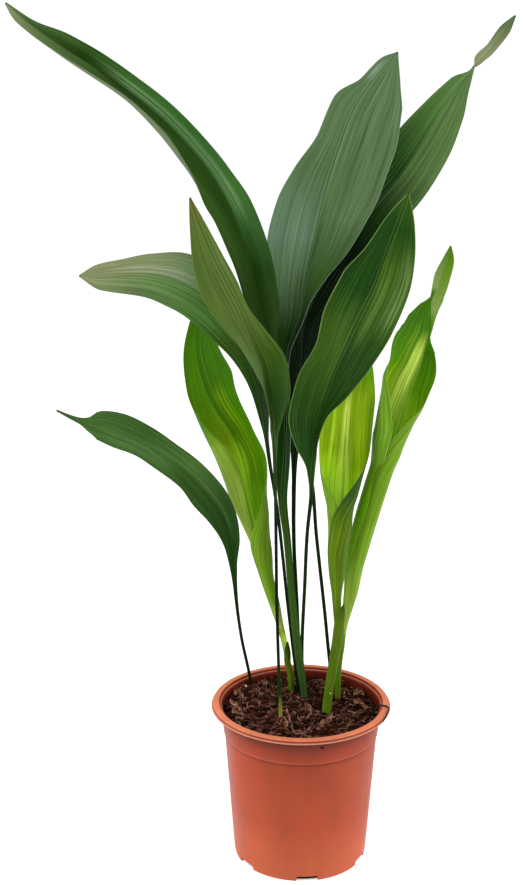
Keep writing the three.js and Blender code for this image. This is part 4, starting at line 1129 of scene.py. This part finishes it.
grow_leaf(
    "low_left_leaf", "leaf_low_left",
    leaf_finish(
        "low_left_leaf_skin",
        left=[(0.34, DEEP), (0.5, DARK), (0.64, LEAF), (0.77, MID), (0.92, MID), (1.0, BACK)],
        right=[(0.34, DEEP), (0.53, DARK), (0.66, MID), (0.79, LEAF), (0.92, MID), (1.0, BACK)],
        under=[(0.3, BACK), (1.0, PALE_BACK)], stalk=[(0.0, STALK)],
        patches=[
            # The grey patch on the left half is painted sheen.
            ("front", 0.1, 0.25, 0.42, 0.85, SOFT, 0.35), ("front", -0.5, 0.4, 0.66, 0.92, SHEEN_GREY, 0.5),
            ("front", 0.0, 0.9, 0.36, 0.5, DEEP, 0.4),
        ],
        seed=3.3, lines=0.28, vein="#5c8a4c", vein_light=0.3, rib=0.0, margin="#2c4418", margin_light=0.4,
    ),
    stalk=1.5,
    petiole=[
        (-41, 47, 125.1, 1.5), (-46, 50.5, 143, 1.5), (-50, 53, 163, 1.5), (-56, 55, 192, 1.5),
        (-60, 59, 219, 1.6),
    ],
    blade=[
        (-62, 58, 242, 0, (2, 15, 0), (2, 15, 0)),
        (-63, 57, 268, 0, (5, 20, 0), (3, 20, 0)),
        (-65, 55, 296, 0, (10.5, 20, 0), (8, 20, 0)),
        (-73, 52, 323, 0, (17, 20, 0), (12.5, 20, 0)),
        (-86, 48, 344, 0, (19.5, 18, 0), (15.5, 18, 0)),
        (-103, 44, 364, 0, (16.5, 15, 0), (15.5, 15, 0)),
        (-123, 40, 382, 0, (17, 12, 0), (14.5, 12, 0)),
        (-145, 35, 398, 0, (16, 12, 0), (16, 12, 0)),
        (-165, 31, 409, 0, (17.5, 12, 0), (17, 12, 0)),
        (-185, 27, 417, 0, (15.5, 12, 0), (12.5, 12, 0)),
        (-194, 25, 418, 0, (8, 10, 0), (5.5, 10, 0)),
        (-201, 24, 420, 0, (3.5, 8, 0), (3, 8, 0)),
        (-211, 21, 425, 0, (2, 8, 0), (1.6, 8, 0)),
        (-222, 19, 431, 0, (0.8, 5, 0), (0.8, 5, 0)),
    ],
)

# ---- Young leaves ----
# Three light green leaves not yet unrolled: each is a funnel low down that opens into its blade, whose
# inner face is lime along the midrib.

# The greens of young leaves: lime where a blade has just unrolled, and softer on its back; the palest lime is
# partly painted light, standing in for light that shines through the young blades.
PALE_LIME_LIT_THROUGH, LIME, BRIGHT, LIVELY = "#e0f868", "#c0f030", "#88ac0c", "#609808"
YOUNG_GREEN, YOUNG_DEEP, YOUNG_OLIVE, YOUNG_SHADE = "#488004", "#386c04", "#506c08", "#284808"
YOUNG_BACK, SOFT_BACK, CREAM_BACK, PALE_BEND_GREEN = "#648a18", "#90ac40", "#d0e070", "#809850"

grow_leaf(
    "young_left_leaf", "leaf_young_left",
    leaf_finish(
        "young_left_leaf_skin",
        # Its palest lime, low inside the funnel, is partly painted light, standing in for light shining
        # through the wrapped blade.
        left=[
            (0.4, PALE_LIME_LIT_THROUGH), (0.55, LIME), (0.64, BRIGHT), (0.74, LIVELY), (0.84, YOUNG_GREEN),
            (0.95, YOUNG_DEEP),
        ],
        right=[(0.4, LIME), (0.54, LIVELY), (0.66, YOUNG_GREEN), (0.78, YOUNG_DEEP)],
        under=[(0.14, CREAM_BACK), (0.26, YOUNG_BACK)],
        left_under=[(0.4, SOFT_BACK), (0.66, YOUNG_BACK), (0.72, YOUNG_DEEP)],
        stalk=[(0.0, SOFT_BACK), (0.17, CREAM_BACK)],
        patches=[
            ("front", 0.05, 0.4, 0.45, 0.66, LIME, 0.8), ("front", 0.35, 0.35, 0.56, 0.8, BRIGHT, 0.65),
            ("back", -0.8, 0.3, 0.45, 0.7, SOFT_BACK, 0.5),
        ],
        seed=6.1, lines=0.18, veins=8, vein="#a8cc50", vein_light=0.22, rib=0.0, margin="#7ca03c",
        margin_light=0.35,
    ),
    stalk=1.8, ease=(1.4, 1),
    petiole=[
        (-7.8, 45.5, 124.3, 1.8), (-8, 46, 143, 1.8), (-9, 47, 159, 1.8), (-12, 49, 173, 2),
    ],
    blade=[
        (-15, 52, 192, 0, (3.4, 0, 70), (3.4, 0, 70)),
        (-20, 56, 211, 0, (8, 0, 190), (15, 0, 240)),
        (-24, 60, 227, 0, (10, 0, 200), (22.5, 0, 265)),
        (-31, 65, 251, 0, (12.5, 0, 205), (29.5, 0, 270)),
        (-37, 71, 281, 0, (19.5, 0, 205), (43, 0, 245)),
        (-44, 76, 310, 0, (33.5, 0, 215), (44.5, 0, 170)),
        (-50, 80, 336, 0, (48, 0, 226), (38.5, 0, 118)),
        (-55, 83, 363, 0, (55, 0, 214), (41, 0, 98)),
        (-66, 85, 391, 0, (51, 2, 185), (33, 5, 72)),
        (-82, 87, 416, 0, (34, 6, 130), (33, 8, 48)),
        (-93, 89, 442, 0, (19.5, 10, 60), (36, 10, 40)),
        (-98, 91, 470, 0, (14, 10, 45), (25.5, 10, 30)),
        (-96, 93, 501, 0, (7.5, 10, 30), (13.5, 10, 25)),
        (-92, 95, 529, 0, (0.8, 5, 0), (0.8, 5, 0)),
    ],
)
grow_leaf(
    "young_centre_leaf", "leaf_young_centre",
    leaf_finish(
        "young_centre_leaf_skin",
        # The palest lime is partly painted light, standing in for light shining through the blade.
        left=[(0.56, PALE_LIME_LIT_THROUGH), (0.65, LIME), (0.72, BRIGHT), (0.92, BRIGHT)],
        right=[(0.56, LIME), (0.68, BRIGHT), (0.85, BRIGHT), (0.92, LIVELY)],
        under=[(0.28, YOUNG_OLIVE), (0.5, YOUNG_OLIVE), (0.6, YOUNG_SHADE)],
        left_under=[(0.3, YOUNG_BACK)], stalk=[(0.0, YOUNG_BACK)],
        patches=[
            ("front", 0.0, 0.2, 0.55, 0.88, PALE_LIME_LIT_THROUGH, 0.8), ("front", -0.4, 0.15, 0.6, 0.86, LIME, 0.6),
            # The dark patch on the right flap is painted shade, cast by the young right leaf.
            ("front", 0.9, 0.4, 0.6, 0.9, YOUNG_DEEP, 0.85),
        ],
        seed=8.4, lines=0.26, veins=7, vein="#c0d45c", vein_light=0.18, rib=0.0, margin="#86a850",
        margin_light=0.35,
    ),
    stalk=2.5, ease=(1.3, 1),
    petiole=[
        (24, 3, 124.3, 2.5), (24.5, 3.5, 141, 2.5), (30, 8, 184, 2.5),
    ],
    blade=[
        (34, 11, 208, 0, (3.2, 0, 70), (3.2, 0, 70)),
        (34, 15, 229, 0, (8, 0, 190), (13.5, 0, 240)),
        (33, 20, 252, 0, (11, 0, 200), (20, 0, 265)),
        (33, 25, 273, 0, (19, 0, 205), (34, 0, 268)),
        (33, 30, 293, 0, (23, 0, 205), (40, 0, 262)),
        (36, 36, 315, 0, (30, 0, 200), (45, 0, 250)),
        (37, 41, 333, 0, (34, 0, 182), (40, 0, 202)),
        (38, 44, 347, 0, (39, 0, 155), (42.5, 0, 170)),
        (39, 47, 366, 0, (37, 0, 110), (40, 0, 130)),
        (41, 51, 394, 0, (32, 0, 75), (30, 0, 75)),
        (44, 56, 431, 0, (27, 0, 50), (27, 0, 55)),
        (50, 60, 459, 0, (18, 0, 40), (18, 0, 40)),
        (59, 64, 488, 0, (0.8, 5, 0), (0.8, 5, 0)),
    ],
)
grow_leaf(
    "young_right_leaf", "leaf_young_right",
    leaf_finish(
        "young_right_leaf_skin",
        # Pale green bands run across each half where the tip bends over.
        left=[
            (0.6, LIME), (0.68, BRIGHT), (0.75, YOUNG_GREEN), (0.83, YOUNG_DEEP), (0.9, YOUNG_DEEP),
            (0.912, PALE_BEND_GREEN), (1.0, YOUNG_DEEP),
        ],
        right=[
            (0.6, LIME), (0.7, LIVELY), (0.78, YOUNG_DEEP), (0.84, YOUNG_GREEN), (0.865, PALE_BEND_GREEN),
            (0.95, YOUNG_BACK), (1.0, YOUNG_DEEP),
        ],
        under=[(0.2, SOFT_BACK), (0.35, YOUNG_BACK)],
        left_under=[(0.25, YOUNG_BACK), (0.4, LIVELY), (0.72, LIVELY)],
        stalk=[(0.0, YOUNG_BACK)],
        patches=[
            # The palest lime along the midrib is partly painted light, standing in for light shining through
            # the blade.
            ("front", -0.04, 0.3, 0.53, 0.83, PALE_LIME_LIT_THROUGH, 0.95),
            ("front", -0.4, 0.15, 0.6, 0.86, BRIGHT, 0.7),
            # The pale patch on the back of the right half is a painted highlight, where that half curls round
            # edge-on.
            ("back", 0.3, 0.2, 0.2, 0.75, "#b0c08c", 0.7), ("back", -0.85, 0.2, 0.5, 0.75, SOFT_BACK, 0.5),
        ],
        seed=0.8, lines=0.24, veins=8, vein="#a8cc50", vein_light=0.2, rib=0.0, margin="#c0d890",
        margin_light=0.4,
    ),
    stalk=2.6, ease=(1.3, 1),
    petiole=[
        (36, 28, 124.3, 2.6), (36, 28, 141, 2.6), (37, 30, 173, 2.6),
    ],
    blade=[
        (40, 34, 201, 0, (3.4, 0, 70), (3.2, 0, 70)),
        (42, 38, 219, 0, (9.5, 0, 190), (14, 0, 240)),
        (45, 41, 232, 0, (13, 0, 195), (19.5, 0, 255)),
        (48, 44, 249, 0, (18.5, 0, 200), (28.5, 0, 262)),
        (51, 48, 272, 0, (24, 0, 200), (36, 0, 266)),
        (56, 52, 294, 0, (29.5, 0, 200), (41, 0, 266)),
        (65, 58, 326, 0, (32.5, 0, 200), (43, 0, 262)),
        (75, 62, 361, 0, (32, 0, 200), (45, 0, 258)),
        (81, 64, 380, 0, (42, 0, 195), (44, 0, 222)),
        (85, 66, 397, 0, (50, 0, 200), (42, 0, 180)),
        (91, 68, 420, 0, (49, 0, 168), (41.5, 0, 140)),
        (99, 70, 443, 0, (48, 0, 118), (28, 0, 82)),
        (106, 71, 460, 0, (40, 5, 80), (23, 5, 50)),
        (113, 72, 478, 0, (36, 10, 40), (12, 10, 30)),
        (117, 72, 488, 0, (33, 10, 32), (2.5, 10, 20)),
        (119, 72, 498, 0, (30.5, 10, 30), (3, 10, 10)),
        (119, 72, 510, 0, (23, 10, 25), (6.5, 10, 5)),
        (119, 72, 518, 0, (11, 10, 10), (9.5, 10, 0)),
        (120, 72, 524, 0, (2.5, 10, 0), (10.5, 10, 0)),
        (124, 72, 532, 0, (5.5, 12, 0), (9, 12, 0)),
        (128, 72, 545, 0, (7, 12, 0), (8.5, 12, 0)),
        (133, 71, 559, 0, (5.5, 12, 0), (6, 12, 0)),
        (135, 70, 572, 0, (0.8, 5, 0), (0.8, 5, 0)),
    ],
)

# ---- Leaf sheaths ----
# Thin pointed scale leaves, wrapped round the feet of the young shoots.
grow_leaf(
    "left_shoot_sheath", "sheath_young_left",
    leaf_finish(
        "left_shoot_sheath_skin",
        left=[(0.0, YOUNG_OLIVE)], right=[(0.0, YOUNG_OLIVE)],
        under=[(0.3, YOUNG_OLIVE), (0.5, YOUNG_BACK), (0.75, YOUNG_OLIVE), (0.95, YOUNG_SHADE)],
        stalk=[(0.0, YOUNG_OLIVE)],
        seed=2.2, lines=0.2, vein="#8fa040", vein_light=0.2, rib=0.0, margin="#2b4414",
    ),
    stalk=0.3,
    blade=[
        (-7.8, 42.8, 124.3, 180, (6.1, 0, 130), (6.1, 0, 130)),
        (-8, 43, 143, 180, (6.1, 0, 130), (6.1, 0, 130)),
        (-9, 44, 159, 180, (6.1, 0, 128), (6.1, 0, 128)),
        (-12, 45, 173, 180, (5.2, 0, 100), (5.2, 0, 100)),
        (-12, 45, 180, 180, (4.3, 0, 75), (4.3, 0, 75)),
        (-12, 45, 187, 180, (2.6, 0, 40), (2.6, 0, 40)),
        (-12, 45, 194, 180, (0.8, 0, 10), (0.8, 0, 10)),
    ],
)
grow_leaf(
    "right_shoot_sheath", "sheath_young_right",
    leaf_finish(
        "right_shoot_sheath_skin",
        left=[(0.0, YOUNG_OLIVE)], right=[(0.0, YOUNG_OLIVE)],
        under=[(0.2, YOUNG_BACK), (0.5, YOUNG_OLIVE), (0.85, YOUNG_OLIVE), (1.0, YOUNG_SHADE)],
        stalk=[(0.0, YOUNG_OLIVE)],
        seed=3.9, lines=0.2, vein="#8fa83c", vein_light=0.2, rib=0.0, margin="#2f5a0c",
    ),
    stalk=0.3,
    blade=[
        (24, -1, 124.3, 180, (8.6, 0, 122), (8.6, 0, 122)),
        (24.6, -0.5, 143, 180, (8.6, 0, 122), (8.6, 0, 122)),
        (30, 3, 186, 180, (8.4, 0, 115), (8.4, 0, 115)),
        (34, 5, 213, 180, (7, 0, 85), (7, 0, 85)),
        (36, 4, 234, 180, (5, 0, 52), (5, 0, 52)),
        (39, 3, 249, 180, (0.8, 0, 10), (0.8, 0, 10)),
    ],
)
